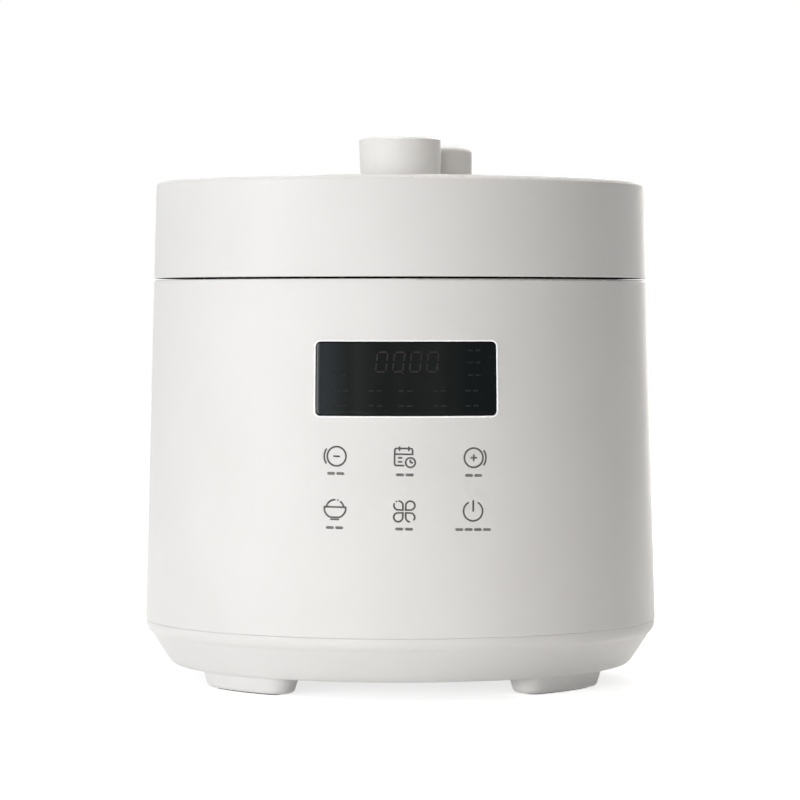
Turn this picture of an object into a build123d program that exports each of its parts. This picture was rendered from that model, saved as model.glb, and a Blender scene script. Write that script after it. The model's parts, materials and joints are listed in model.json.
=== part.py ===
from build123d import *
import os
from math import atan2, cos, degrees, hypot, radians, sin, sqrt, tan

# Electric pressure cooker, 2.9 litre class. Millimetres, +Z up, front faces -Y.
# The origin is the centre of the footprint, on the surface that the cooker stands on.

# --- pots and the levels they set, from the bottom up
LEG_H = 8.6                 # legs, from the standing surface to the base's underside
BASE_FLOOR = 2.5            # floor of the base cover
BASE_H = 20.4               # base cover, underside to the seam with the shell
UNDER_SPACE = 38.9          # room for the electrics between base floor and outer pot
OUTER_POT_WALL = 1.2
OUTER_POT_CORNER = 20.0
HEATER_GAP = 2.8            # between outer pot floor and heating plate
HEATER_T = 9.0
POT_H = 116.0               # inner pot, underside to the top of its rim
POT_R = 90.0                # inner pot, inside radius
POT_WALL = 1.5
POT_FLOOR = 2.0
POT_CORNER = 16.0           # outside radius between pot wall and floor
POT_GAP = 2.0               # air gap between inner and outer pot
RIM_W = 5.5                 # width of the inner pot's rim flange
RIM_LIFT = 0.3              # rim flange above the outer pot's flange
RIM_DROP = 8.9              # inner pot's rim below the top of the shell

# --- bayonet closure
TEETH = 6
LOCK_TURN = 30.0            # degrees from set-on to locked
LID_TOOTH_ARC = 26.0
RING_TOOTH_ARC = 26.0
TOOTH_L = 4.8               # radial length of a lid tooth
TOOTH_T = 2.0
TOOTH_LEVEL = 1.6           # lid tooth above the pot's rim
TOOTH_PLAY = 1.0            # between lid tooth and ring tooth, in height
RING_CLEAR = 0.8            # between tooth tip and ring wall
RING_T = 2.2
RING_FOOT_T = 1.5           # foot of the bayonet ring, on the outer pot's flange
RING_FOOT_CLEAR = 1.5       # between the ring's foot and the inner pot's rim
METAL_LID_T = 1.5
METAL_LID_CORNER = 3.0
SKIRT_CLEAR = 0.1           # metal lid's skirt outside the pot's rim radius
SKIRT_H = 9.3               # skirt, from the teeth's underside to the top of the metal lid

# --- upper ring with the condensate gutter
GUTTER_GAP = 0.4
GUTTER_W = 6.4
GUTTER_WALL = 1.5
GUTTER_DROP = 0.4           # gutter's rim below the shell's top
GUTTER_FLOOR = 2.0
LEDGE_OVERHANG = 8.0        # ring floor that reaches in under the outer pot's flange
LEDGE_T = 2.0               # ledge in the shell that carries the upper ring

# --- outer form
SHELL_GAP = 0.26
SHELL_WALL = 2.5
SIDE_TAPER = 1.53           # degrees that the sides lean in
SHELL_EDGE = 1.0            # rounding of the shell's top edge
SHELL_FOOT_EDGE = 0.6       # rounding of the shell's lower edge
SEAM_GAP = 0.05             # fine joint between base cover and shell
BASE_INSET = 0.3            # base cover inside the shell's lower edge
BAND_H = 1.0                # upright band at the top of the base cover
SHOULDER_H = 5.1
SHOULDER_W = 2.5
SHOULDER_LEAN = 52.0        # degrees off upright at the shoulder's lower end
BELLY_W = 10.2              # from the shoulder to the edge of the flat underside
BELLY_LEAN = 35.0           # degrees off upright where the belly starts
BELLY_PULL = (5.0, 1.7)     # how far the belly's curve keeps its first and last direction
BASE_LIP_T = 2.0
BASE_LIP_H = 4.0
LIP_FIT = 0.4               # between the base cover's lip and the shell
LIP_ROOT = 2.0              # height of the web that joins the lip to the base cover's wall
BASE_WALL = 2.5

# --- legs
LEG_CENTRE = 49.5           # degrees off the front-back line
LEG_ARC = 31.9              # at the foot
LEG_INSET = 6.3             # foot's outer face in from the edge of the flat underside
LEG_W = 15.3                # at the foot
LEG_LEAN = 17.0             # degrees that the leg's sides lean out, from the foot up
LEG_CORNER = 6.8
LEG_EDGE = 3.0
PAD_PROUD = 0.6
PAD_SUNK = 1.0
PAD_MARGIN = 3.6            # from the sides of a leg's foot to the sides of its pad
PAD_END = 6.0               # from the end of a leg to the end of its pad
PAD_ROUND = 0.3             # corner radius as a share of the pad's width

# --- lid
LID_GAP = 0.9
LID_H = 44.8
LID_WALL = 2.5
LID_EDGE = 1.9
WELL_RIM = 15.7             # lid's rim outside the two finger wells
WELL_DEPTH = 26.0
WELL_CORNER = 9.0
WELL_WALL = 2.0
WELL_EDGE = 1.2
BRIDGE_W = 78.0
BRIDGE_H = 0.8
BRIDGE_REACH = 2.0          # bridge cover's ends out past the finger wells
BRIDGE_INSET = 1.6          # bridge cover inside the edges of the wells
BRIDGE_EDGE = 0.7
UNDER_RING_T = 2.0
UNDER_RING_LIP = 6.0
RING_FIT = 0.3
LID_SCREW_IN = 23.7         # metal lid's screws in from the edge of the pot's rim
LID_SCREW_ANGLE = 35.0
LID_SCREW_BITE = 7.0
LID_SCREW_END = 1.0         # hole runs on past the screw

# --- steam valve at the lid's centre
CAP_R = 18.8
CAP_FLARE = 0.7             # cap's radius grows by this from foot to top
CAP_H = 20.5
CAP_WALL = 1.6
CAP_EDGE = 0.4
CAP_BEVEL = (3.0, 0.7)      # width and height of the shallow bevel round the cap's top
CAP_VENTS = 12
VENT_W = 3.2
VENT_H = 2.0
COLLAR_T = 1.6
COLLAR_H = 3.2
CAP_FIT = 0.3
NOZZLE_R = 4.5
NOZZLE_BORE = 1.5
NOZZLE_FLANGE_R = 9.0
NOZZLE_FLANGE_T = 2.0
NOZZLE_TIP = 3.2            # nozzle above the bridge cover
NOZZLE_END = 1.0            # nozzle below its nut
NUT_AF = 14.0
NUT_T = 2.4
WEIGHT_R = 11.0
WEIGHT_FLANGE_R = 14.0
WEIGHT_FLANGE_T = 2.0
WEIGHT_H = 20.0
WEIGHT_EDGE = 2.0
WEIGHT_FIT = 0.3
CLOG_R = 14.0
CLOG_H = 8.0
CLOG_WALL = 1.2
CLOG_EDGE = 2.0
CLOG_HOLES = 8
CLOG_HOLE_IN = 5.3          # holes in from the anti-clog cover's side
CLOG_HOLE_R = 1.5

# --- release button, lever and float
BUTTON_X = 20.7
BUTTON_Y = 30.5
BUTTON_R = 14.7
BUTTON_H = 13.1
BUTTON_WALL = 1.5
BUTTON_EDGE = 3.2
BUTTON_TRAVEL = 4.0
BUTTON_STOP = 0.5           # gap left under the pressed button
STEM_R = 4.5
STEM_FIT = 0.3
STEM_TIP_R = 2.0
STEM_TIP_L = 4.0
GUIDE_H = 11.2
GUIDE_FLOOR = 2.0
GUIDE_WALL = 4.3
GUIDE_GAP = 0.6
SPRING_WIRE = 0.8
SPRING_TURNS = 5
SPRING_CLEAR = 2.0          # from the middle of a spring's wire to the stem inside it
LEVER_W = 5.0
LEVER_T = 4.0
LEVER_DROP = 4.6            # lever's top below the lid's top surface
LEVER_REACH = 8.5           # lever's inner end from the valve axis
LEVER_TAIL = 3.0
LEVER_ROOM = 0.9            # pocket over the lever's inner arm, which rises under the lid's wall
LEVER_PIN_R = 1.0
LEVER_PIN_FIT = 0.05
PIVOT_S = 22.0              # pivot from the valve axis
LUG_T = 2.5
LUG_GAP = 0.3
LUG_W = 7.0
FLOAT_X = -24.0
FLOAT_Y = 22.0
FLOAT_R = 2.0
FLOAT_FIT = 0.5
FLOAT_TRAVEL = 4.0
FLOAT_HEAD_R = 4.0
FLOAT_HEAD_T = 1.5
FLOAT_SEAL_T = 1.3
FLOAT_SEAL_IN = 0.4         # seal inside the head's edge
FLOAT_STOP = 0.2            # seal below the metal lid when the float is up
FLOAT_SUNK = 1.4            # pin's top below the bridge cover's top

# --- sealing ring
SEAL_FIT = 0.3
SEAL_WALL = 2.5
SEAL_LIP = 7.2
SEAL_TOP_GAP = 0.3
SEAL_CHAMFER = 1.2
SEAL_LIP_T = 1.7

# --- heating
HEATER_IN = 7.5             # heating plate's edge in from the pot's outside
HEATER_EDGE = 2.0
HEATER_HOLE_R = 19.0
ELEMENT_IN = 26.0           # element's axis in from the plate's edge
ELEMENT_TUBE_R = 3.3
ELEMENT_FIT = 0.2
ELEMENT_ARC = 300.0
ELEMENT_SINK = 1.5
TERMINAL_DROP = 11.0
TERMINAL_R = 1.65
TERMINAL_L = 5.0
BOLT_R = 2.0
BOLT_HEAD_R = 3.8
BOLT_HEAD_T = 2.0
BOLT_BITE = 4.0
BOLT_END = 1.0              # hole runs on past the bolt
BOLT_IN = 16.0              # bolts in from the plate's edge
BOLTS = 3
SPACER_R = 5.0
SENSOR_R = 17.0
SENSOR_WALL = 1.0
SENSOR_EDGE = 1.5
SENSOR_H = 10.7
SENSOR_GAP = 0.3
SENSOR_HOLE_R = 24.0
SENSOR_SPRING_R = 7.0
BRACKET_T = 1.5
BRACKET_DROP = 7.0
BRACKET_R = 30.0
DISH_INSET = 3.0            # bracket's dish inside the hole in the outer pot
SWITCH_X = 46.0
SWITCH_L = 20.0
SWITCH_W = 10.0
SWITCH_H = 12.0
SWITCH_PIN = 2.0
SWITCH_EAR_T = 1.5
SWITCH_BLADE_IN = 3.0       # middle of each blade from the end of the switch
SWITCH_BLADE_T = 2.0
SWITCH_BLADE_W = 6.0
SWITCH_BLADE_L = 5.0
FUSE_X = -46.0
FUSE_R = 2.6
FUSE_L = 22.0
FUSE_CLIP = 1.4
FUSE_STRAP_W = 4.0

# --- display and controls
WINDOW_W = 79.9
WINDOW_H = 32.6
WINDOW_T = 1.8
WINDOW_CORNER = 2.2
WINDOW_DROP = 44.2          # window's centre below the top of the shell
WINDOW_FIT = 0.15
WINDOW_LEDGE = 2.5
MODULE_W = 58.0
MODULE_H = 24.0
KEY_ANGLE = 15.2            # degrees between the columns of touch symbols
KEY_DROPS = (78.4, 102.2)   # rows of touch symbols below the top of the shell
KEY_PAD_R = 5.5
BOARD_W = 82.0
BOARD_TOP = 20.0            # board's upper edge below the top of the shell
BOARD_H = 95.0
BOARD_T = 1.6
BOARD_GAP = 5.7             # between the outer pot and the board's carrier
CARRIER_T = 2.0
CARRIER_MARGIN = 3.0
CARRIER_FRAME = 12.0        # width of the carrier's frame behind the board
CARRIER_LIP = 1.0           # carrier's lip in front of the board
BOARD_HOLE_SIDE = 3.5       # board's holes in from its sides
BOARD_HOLE_IN = 4.5         # and in from its upper and lower edge
SCREW_R = 1.5
SCREW_HEAD_R = 2.8
SCREW_HEAD_T = 1.8
RECESS_L = 3.2              # cross recess in a screw's head
RECESS_W = 0.8
RECESS_DEPTH = 0.9
BOSS_R = 3.0
BOARD_SCREW_BITE = 3.0
PAD_GAP = 0.3

# --- power
INLET_RISE = 2.35           # inlet flange above the edge of its pad
INLET_W = 50.0
INLET_H = 22.5
INLET_CORNER = 1.6
INLET_FLANGE_T = 2.0
INLET_SUNK = 4.7            # flange's outer face in from the shell's side
INLET_BODY_W = 30.0
INLET_BODY_H = 20.0
INLET_DEPTH = 19.0
CAVITY_W = 24.0
CAVITY_H = 15.6
CAVITY_DEPTH = 16.0
CAVITY_CHAMFER = 4.6
INLET_PITCH = 20.0          # inlet screws from the centre
INLET_PAD_T = 3.0
INLET_PAD_MARGIN = 4.0
INLET_FIT = 0.4
PIN_W = 2.0
PIN_H = 4.0
PIN_L = 14.0
PIN_X = 7.0
PIN_Z = 2.0
PIN_TAIL = 8.0
PCB_W = 96.0
PCB_D = 56.0
PCB_Y = -50.0
PCB_LIFT = 7.6
PCB_T = 1.6
PCB_HOLE_IN = 4.5
STANDOFF_R = 3.6
TRANSFORMER_X = -24.0
TRANSFORMER_CORE = (30.0, 24.0, 20.0)
TRANSFORMER_COIL = (22.0, 30.0, 16.0)
RELAY_X = 12.0
RELAY_Y = -12.0
RELAY_SIZE = (20.0, 16.0, 16.0)
CAPACITOR_X = 12.0
CAPACITOR_Y = 12.0
CAPACITOR_SIZE = (26.0, 9.0, 17.0)
TERMINAL_BLOCK_X = 36.0
TERMINAL_BLOCK_SIZE = (12.0, 26.0, 11.0)
TERMINALS = 3
TERMINAL_PITCH = 8.0
TERMINAL_HOLE_R = 2.0
TERMINAL_HOLE_DEPTH = 5.0
BASE_POST_R = 5.0
BASE_POST_IN = 7.7          # base screws in from the edge of the flat underside
BASE_POST_ANGLES = (0, 90, 180, 270)
BASE_SCREW_R = 1.8
BASE_SCREW_HEAD_R = 3.1
BASE_SCREW_FIT = 0.3        # round the head, in its well
BASE_SCREW_SINK = 4.0
TAB_T = 3.0
TAB_W = 16.0
VENTS = 7
VENT_SLOT_L = 34.0
VENT_SLOT_W = 3.0
VENT_PITCH = 7.0
VENT_X = 27.0               # centre of each row of vent slots from the axis

# --- drip cup at the back
CUP_W = 56.0
CUP_H = 40.0
CUP_DROP = 18.0             # cup's top below the top of the shell
CUP_WALL = 1.6
CUP_GAP = 3.2               # between the outer pot and the cup's pocket
CUP_FIT = 0.4
POCKET_WALL = 1.5
GRIP_W = 26.0
GRIP_H = 6.0
GRIP_DROP = 9.6             # grip's centre below the cup's top
GRIP_ROUND = 0.45           # corner radius as a share of the grip's height
GRIP_WALL = 2.0
GRIP_DEPTH = 2.2

# --- levels worked out from the sizes above
SEAM_Z = LEG_H + BASE_H
FLOOR_Z = LEG_H + BASE_FLOOR
OUTER_POT_Z = FLOOR_Z + UNDER_SPACE
HEATER_Z = OUTER_POT_Z + OUTER_POT_WALL + HEATER_GAP
POT_Z = HEATER_Z + HEATER_T
RIM_Z = POT_Z + POT_H
FLANGE_Z = RIM_Z - POT_WALL - RIM_LIFT
SHELL_TOP = RIM_Z + RIM_DROP
TOOTH_Z = RIM_Z + TOOTH_LEVEL
RING_TOOTH_Z = TOOTH_Z + TOOTH_T + TOOTH_PLAY
METAL_TOP = TOOTH_Z + SKIRT_H
LID_LOW = SHELL_TOP + LID_GAP
LID_TOP = LID_LOW + LID_H
BRIDGE_TOP = LID_TOP + BRIDGE_H
BUTTON_LOW = BRIDGE_TOP + BUTTON_TRAVEL + BUTTON_STOP
BUTTON_TOP = BUTTON_LOW + BUTTON_H
LEVER_TOP = LID_TOP - LEVER_DROP
WINDOW_Z = SHELL_TOP - WINDOW_DROP
PCB_Z = FLOOR_Z + PCB_LIFT
CUP_TOP = SHELL_TOP - CUP_DROP
CUP_LOW = CUP_TOP - CUP_H
INLET_PAD_Z = SEAM_Z + BASE_LIP_H + LIP_FIT
INLET_Z = INLET_PAD_Z + INLET_RISE + INLET_H / 2

# --- radii worked out from the sizes above
POT_OUT = POT_R + POT_WALL
RIM_R = POT_OUT + RIM_W
OUTER_POT_IN = POT_OUT + POT_GAP
OUTER_POT_R = OUTER_POT_IN + OUTER_POT_WALL
SKIRT_IN = RIM_R + SKIRT_CLEAR
SKIRT_R = SKIRT_IN + METAL_LID_T
TOOTH_R = SKIRT_R + TOOTH_L
RING_IN = TOOTH_R + RING_CLEAR
RING_R = RING_IN + RING_T
RING_TOOTH_R = SKIRT_R + 1.5 * RING_CLEAR
GUTTER_IN = RING_R + GUTTER_GAP
BODY_TOP_R = GUTTER_IN + GUTTER_W + SHELL_GAP + SHELL_WALL
LID_SCREW_R = RIM_R - LID_SCREW_IN
HEATER_R = POT_OUT - HEATER_IN
ELEMENT_R = HEATER_R - ELEMENT_IN
BOLT_RING_R = HEATER_R - BOLT_IN
BOARD_Y = OUTER_POT_R + BOARD_GAP + CARRIER_T + BOARD_T
CUP_BACK = OUTER_POT_R + CUP_GAP + POCKET_WALL + CUP_FIT
BUTTON_S = hypot(BUTTON_X, BUTTON_Y)
BUTTON_DIR = degrees(atan2(BUTTON_Y, BUTTON_X))


def side_r(z):
    """Radius of the outer cone at a height; it runs through shell and lid alike."""
    return BODY_TOP_R + (SHELL_TOP - z) * tan(radians(SIDE_TAPER))


UNDERSIDE_R = side_r(SEAM_Z) - BASE_INSET - SHOULDER_W - BELLY_W
LEG_R = UNDERSIDE_R - LEG_INSET
BASE_POST_AT = UNDERSIDE_R - BASE_POST_IN
INLET_Y = side_r(INLET_Z) - INLET_SUNK
WELL_R = side_r(LID_TOP) - WELL_RIM
BRIDGE_R = WELL_R + BRIDGE_REACH

OVERCUT = 1.0               # how far a cutting tool runs past a face
NEAR = 0.01                 # how close an edge lies to the place it is looked for
UPRIGHT = (Align.CENTER, Align.CENTER, Align.MIN)


# ---------------------------------------------------------------- helpers
def disc(r, low, high, x=0.0, y=0.0):
    """Solid upright cylinder between two heights."""
    return Pos(x, y, low) * Cylinder(r, high - low, align=UPRIGHT)


def ring(r_in, r_out, low, high, x=0.0, y=0.0):
    """Upright tube; its bore is cut right through."""
    return disc(r_out, low, high, x, y) - disc(r_in, low - OVERCUT, high + OVERCUT, x, y)


def block(x_low, x_high, y_low, y_high, z_low, z_high):
    """Box between two corners."""
    size = (x_high - x_low, y_high - y_low, z_high - z_low)
    return Pos(x_low, y_low, z_low) * Box(*size, align=(Align.MIN,) * 3)


def turned(*points):
    """Solid of revolution from a closed polygon of (radius, height) points."""
    return revolve(Plane.XZ * make_face(Polyline(*points, close=True)), Axis.Z)


def cone_solid(inset, low, high):
    """Everything inside the outer cone, less an inset, between two heights."""
    return turned((0, low), (side_r(low) - inset, low), (side_r(high) - inset, high), (0, high))


def rounded_at(part, radius, z, r):
    """Rounds the circular edge of radius r at height z."""
    edges = [
        e for e in part.edges().filter_by(GeomType.CIRCLE)
        if abs(e.radius - r) < NEAR and abs(e.bounding_box().center().Z - z) < NEAR
    ]
    return fillet(edges, radius)


def sector(r_in, r_out, low, high, centre, arc):
    """Piece of a tube, centred on an angle from +X, in degrees."""
    points = ((r_in, low), (r_out, low), (r_out, high), (r_in, high))
    face = Plane.XZ * make_face(Polyline(*points, close=True))
    return Rot(0, 0, centre - arc / 2) * revolve(face, Axis.Z, revolution_arc=arc)


def polar(r, angle):
    """Point in plan from a radius and an angle in degrees."""
    return r * cos(radians(angle)), r * sin(radians(angle))


def front_bar(width, height, corner, x, z, y_low, y_high):
    """Rounded rectangular bar that lies along Y."""
    plane = Plane(origin=(x, y_low, z), x_dir=(1, 0, 0), z_dir=(0, 1, 0))
    return extrude(plane * RectangleRounded(width, height, corner), y_high - y_low)


def rod_y(r, x, z, y_low, y_high):
    """Solid cylinder that lies along Y."""
    plane = Plane(origin=(x, y_low, z), x_dir=(1, 0, 0), z_dir=(0, 1, 0))
    return extrude(plane * Circle(r), y_high - y_low)


def group(solids):
    """Several separate solids that share one node."""
    return Compound([s for shape in solids for s in shape.solids()])


def coil(r, low, high, x=0.0, y=0.0):
    """Round-wire compression spring between two heights."""
    rise = high - low - 2 * SPRING_WIRE
    path = Helix(rise / SPRING_TURNS, rise, r)
    start = Plane(origin=path @ 0, z_dir=path % 0)
    return Pos(x, y, low + SPRING_WIRE) * sweep(start * Circle(SPRING_WIRE / 2), path, is_frenet=True)


def screw(r, head_r, head_t, length):
    """Pan-head screw that points up, with a cross recess; its head seats at height 0."""
    head = disc(head_r, -head_t, 0)
    for wide, deep in ((RECESS_L, RECESS_W), (RECESS_W, RECESS_L)):
        head -= block(-wide / 2, wide / 2, -deep / 2, deep / 2, -head_t, RECESS_DEPTH - head_t)
    return head + disc(r, 0, length)


def small_screw(length):
    """The size of screw that holds the boards and the inlet."""
    return screw(SCREW_R, SCREW_HEAD_R, SCREW_HEAD_T, length)


# ---------------------------------------------------------------- base and legs
def base_profile(inset):
    """Outline of the base cover's side from the seam to the underside, moved in by inset."""
    top = side_r(SEAM_Z) - BASE_INSET - inset
    band = Line((top, SEAM_Z - SEAM_GAP), (top, SEAM_Z - SEAM_GAP - BAND_H))
    waist = (top - SHOULDER_W, (band @ 1).Y - SHOULDER_H)
    bend = (top, waist[1] + SHOULDER_W / tan(radians(SHOULDER_LEAN)))
    shoulder = Bezier(band @ 1, bend, waist)
    lean = radians(BELLY_LEAN)
    edge = (waist[0] - BELLY_W, LEG_H + inset)
    first = (waist[0] - BELLY_PULL[0] * sin(lean), waist[1] - BELLY_PULL[0] * cos(lean))
    belly = Bezier(waist, first, (edge[0] + BELLY_PULL[1], edge[1]), edge)
    floor = Line(belly @ 1, (0, LEG_H + inset))
    axis = Line(floor @ 1, (0, SEAM_Z - SEAM_GAP))
    lid = Line(axis @ 1, band @ 0)
    return make_face([band, shoulder, belly, floor, axis, lid])


def leg(centre):
    """One arc-shaped leg with rounded ends, its sides leaning out from the foot up."""
    height = FLOOR_Z - BASE_FLOOR / 2 - PAD_PROUD
    plate = sector(LEG_R - LEG_W, LEG_R, 0, PAD_PROUD, centre, LEG_ARC)
    upright = [e for e in plate.edges() if e.bounding_box().size.Z > PAD_PROUD - NEAR]
    foot = fillet(upright, LEG_CORNER).faces().sort_by(Axis.Z)[-1]
    body = extrude(foot, height, dir=(0, 0, 1), taper=-LEG_LEAN)
    rim = [e for e in body.edges() if e.bounding_box().max.Z < PAD_PROUD + NEAR]
    return fillet(rim, LEG_EDGE) - leg_pad(centre, PAD_SUNK)


def leg_pad(centre, height):
    """The rubber pad's outline under a leg, from the leg's underside up."""
    end_arc = degrees(PAD_END / LEG_R)
    r_out = LEG_R - PAD_MARGIN
    r_in = LEG_R - LEG_W + PAD_MARGIN
    pad = sector(r_in, r_out, PAD_PROUD, PAD_PROUD + height, centre, LEG_ARC - 2 * end_arc)
    upright = [e for e in pad.edges() if e.bounding_box().size.Z > height - NEAR]
    return fillet(upright, (r_out - r_in) * PAD_ROUND)


def leg_angles():
    """Angles of the four legs from +X."""
    return [90 - LEG_CENTRE, 90 + LEG_CENTRE, 270 - LEG_CENTRE, 270 + LEG_CENTRE]


def base_post_spots():
    return [polar(BASE_POST_AT, a) for a in BASE_POST_ANGLES]


def pcb_spots():
    """Places of the power board's four screws."""
    x = PCB_W / 2 - PCB_HOLE_IN
    y = PCB_D / 2 - PCB_HOLE_IN
    return [(sx * x, PCB_Y + sy * y) for sx in (-1, 1) for sy in (-1, 1)]


def make_base_cover():
    body = revolve(Plane.XZ * base_profile(0), Axis.Z) - revolve(Plane.XZ * base_profile(BASE_WALL), Axis.Z)
    body -= disc(side_r(SEAM_Z) - BASE_INSET - BASE_WALL, SEAM_Z - SEAM_GAP - 2 * BASE_WALL, SEAM_Z)
    lip_r = side_r(SEAM_Z + BASE_LIP_H) - SHELL_WALL - LIP_FIT
    web_low = SEAM_Z - SEAM_GAP - LIP_ROOT
    body += ring(lip_r - BASE_LIP_T, lip_r, web_low, SEAM_Z + BASE_LIP_H)
    body += ring(lip_r - BASE_LIP_T, side_r(SEAM_Z) - BASE_INSET - BASE_WALL / 2, web_low, SEAM_Z - SEAM_GAP)
    for angle in leg_angles():
        body += leg(angle)
    for x, y in base_post_spots():
        body += disc(BASE_POST_R, LEG_H + BASE_FLOOR / 2, SEAM_Z, x, y)
        body -= disc(BASE_SCREW_R, LEG_H - OVERCUT, SEAM_Z + OVERCUT, x, y)
        body -= disc(BASE_SCREW_HEAD_R + BASE_SCREW_FIT, LEG_H - OVERCUT, LEG_H + BASE_SCREW_SINK, x, y)
    for x, y in pcb_spots():
        body += disc(STANDOFF_R, LEG_H + BASE_FLOOR / 2, PCB_Z, x, y)
        body -= disc(SCREW_R, FLOOR_Z, PCB_Z + OVERCUT, x, y)
    for side in (-1, 1):
        for n in range(VENTS):
            y = (n - (VENTS - 1) / 2) * VENT_PITCH
            slot = extrude(SlotOverall(VENT_SLOT_L, VENT_SLOT_W), BASE_FLOOR + 2 * OVERCUT)
            body -= Pos(side * VENT_X, y, LEG_H - OVERCUT) * slot
    return body


def make_foot_pads():
    pads = []
    for angle in leg_angles():
        pads.append(Pos(0, 0, -PAD_PROUD) * leg_pad(angle, PAD_PROUD + PAD_SUNK))
    return group(pads)


def make_base_screws():
    seat = LEG_H + BASE_SCREW_SINK
    one = screw(BASE_SCREW_R, BASE_SCREW_HEAD_R, SCREW_HEAD_T, SEAM_Z + TAB_T - seat)
    return group(Pos(x, y, seat) * one for x, y in base_post_spots())


# ---------------------------------------------------------------- shell
def window_bar(grow, y_low, y_high):
    """The display window's outline as a bar, with its sides moved out by grow."""
    return front_bar(
        WINDOW_W + 2 * grow, WINDOW_H + 2 * grow, WINDOW_CORNER, 0, WINDOW_Z, y_low, y_high,
    )


def cup_bar(grow, y_low, y_high):
    """The drip cup's outline as a bar, with its sides moved out by grow."""
    return block(-CUP_W / 2 - grow, CUP_W / 2 + grow, y_low, y_high, CUP_LOW - grow, CUP_TOP + grow)


def board_spots():
    """Places of the control board's four screws, in x and z."""
    x = BOARD_W / 2 - BOARD_HOLE_SIDE
    z_top = SHELL_TOP - BOARD_TOP - BOARD_HOLE_IN
    z_low = SHELL_TOP - BOARD_TOP - BOARD_H + BOARD_HOLE_IN
    return [(sx * x, z) for sx in (-1, 1) for z in (z_low, z_top)]


def shell_bracket():
    """Block on the shell's wall, at +X, that a base screw bites into; it clears the base's lip."""
    inner = BASE_POST_AT - BASE_POST_R
    web_low = SEAM_Z + BASE_LIP_H + LIP_FIT
    web_high = web_low + TAB_T
    web = block(inner, side_r(web_low) - SHELL_WALL / 2, -TAB_W / 2, TAB_W / 2, web_low, web_high)
    riser = block(inner, BASE_POST_AT + BASE_POST_R, -TAB_W / 2, TAB_W / 2, SEAM_Z, web_high)
    return web + riser - disc(BASE_SCREW_R, SEAM_Z - OVERCUT, SEAM_Z + TAB_T, BASE_POST_AT)


def make_outer_shell():
    outer = rounded_at(cone_solid(0, SEAM_Z, SHELL_TOP), SHELL_EDGE, SHELL_TOP, side_r(SHELL_TOP))
    outer = rounded_at(outer, SHELL_FOOT_EDGE, SEAM_Z, side_r(SEAM_Z))
    inner = cone_solid(SHELL_WALL, SEAM_Z - OVERCUT, SHELL_TOP + OVERCUT)
    shell = outer - inner

    # ledge that carries the upper ring
    ledge_top = FLANGE_Z - OUTER_POT_WALL - GUTTER_FLOOR
    shell += ring(GUTTER_IN, side_r(ledge_top) - SHELL_WALL / 2, ledge_top - LEDGE_T, ledge_top)

    for angle in BASE_POST_ANGLES:
        shell += Rot(0, 0, angle) * shell_bracket()

    # rebate and opening for the display window
    seat = cone_solid(WINDOW_T + WINDOW_FIT, SEAM_Z, SHELL_TOP)
    shell -= window_bar(WINDOW_FIT, -side_r(SEAM_Z) - OVERCUT, 0) - seat
    shell -= window_bar(-WINDOW_LEDGE, -side_r(SEAM_Z) - OVERCUT, 0)

    # bosses that hold the control board's carrier
    inside = cone_solid(SHELL_WALL / 2, SEAM_Z, SHELL_TOP)
    for x, z in board_spots():
        shell += rod_y(BOSS_R, x, z, -side_r(SEAM_Z), -BOARD_Y) & inside
        shell -= rod_y(SCREW_R, x, z, -BOARD_Y - BOARD_SCREW_BITE, -BOARD_Y + OVERCUT)

    # pocket that holds the drip cup
    shell += cup_bar(CUP_FIT + POCKET_WALL, CUP_BACK - CUP_FIT - POCKET_WALL, side_r(SEAM_Z)) & inside
    shell -= cup_bar(CUP_FIT, CUP_BACK - CUP_FIT, side_r(SEAM_Z) + OVERCUT)

    # flat pad and recess for the mains inlet
    pad_y = INLET_Y - INLET_FLANGE_T
    pad = block(
        -INLET_W / 2 - INLET_PAD_MARGIN, INLET_W / 2 + INLET_PAD_MARGIN, pad_y - INLET_PAD_T, side_r(SEAM_Z),
        INLET_PAD_Z, INLET_Z + INLET_H / 2 + INLET_PAD_MARGIN,
    )
    shell += pad & inside
    shell -= front_bar(
        INLET_W + 2 * INLET_FIT, INLET_H + 2 * INLET_FIT, INLET_CORNER + INLET_FIT, 0, INLET_Z,
        pad_y, side_r(SEAM_Z) + OVERCUT,
    )
    shell -= block(
        -INLET_BODY_W / 2 - INLET_FIT, INLET_BODY_W / 2 + INLET_FIT, pad_y - INLET_PAD_T - OVERCUT,
        pad_y + OVERCUT, INLET_Z - INLET_BODY_H / 2 - INLET_FIT, INLET_Z + INLET_BODY_H / 2 + INLET_FIT,
    )
    for x in (-INLET_PITCH, INLET_PITCH):
        shell -= rod_y(SCREW_R, x, INLET_Z, pad_y - INLET_PAD_T - OVERCUT, pad_y + OVERCUT)
    return shell


def make_upper_ring():
    top_r = side_r(SHELL_TOP) - SHELL_WALL - SHELL_GAP
    floor_low = FLANGE_Z - OUTER_POT_WALL - GUTTER_FLOOR
    low_r = side_r(floor_low) - SHELL_WALL - SHELL_GAP
    inner_top = RING_TOOTH_Z + TOOTH_T
    floor_high = FLANGE_Z - OUTER_POT_WALL
    return turned(
        (GUTTER_IN - LEDGE_OVERHANG, floor_low), (low_r, floor_low), (top_r, SHELL_TOP - GUTTER_DROP),
        (top_r - GUTTER_WALL, SHELL_TOP - GUTTER_DROP), (top_r - GUTTER_WALL, floor_high + GUTTER_FLOOR),
        (GUTTER_IN + GUTTER_WALL, floor_high + GUTTER_FLOOR), (GUTTER_IN + GUTTER_WALL, inner_top),
        (GUTTER_IN, inner_top), (GUTTER_IN, floor_high), (GUTTER_IN - LEDGE_OVERHANG, floor_high),
    )


# ---------------------------------------------------------------- pots
def vessel(r_out, wall, floor, corner, low, high):
    """Round pot with a rounded floor edge."""
    outer = rounded_at(disc(r_out, low, high), corner, low, r_out)
    inner = disc(r_out - wall, low + floor, high + OVERCUT)
    return outer - rounded_at(inner, corner - wall, low + floor, r_out - wall)


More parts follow.
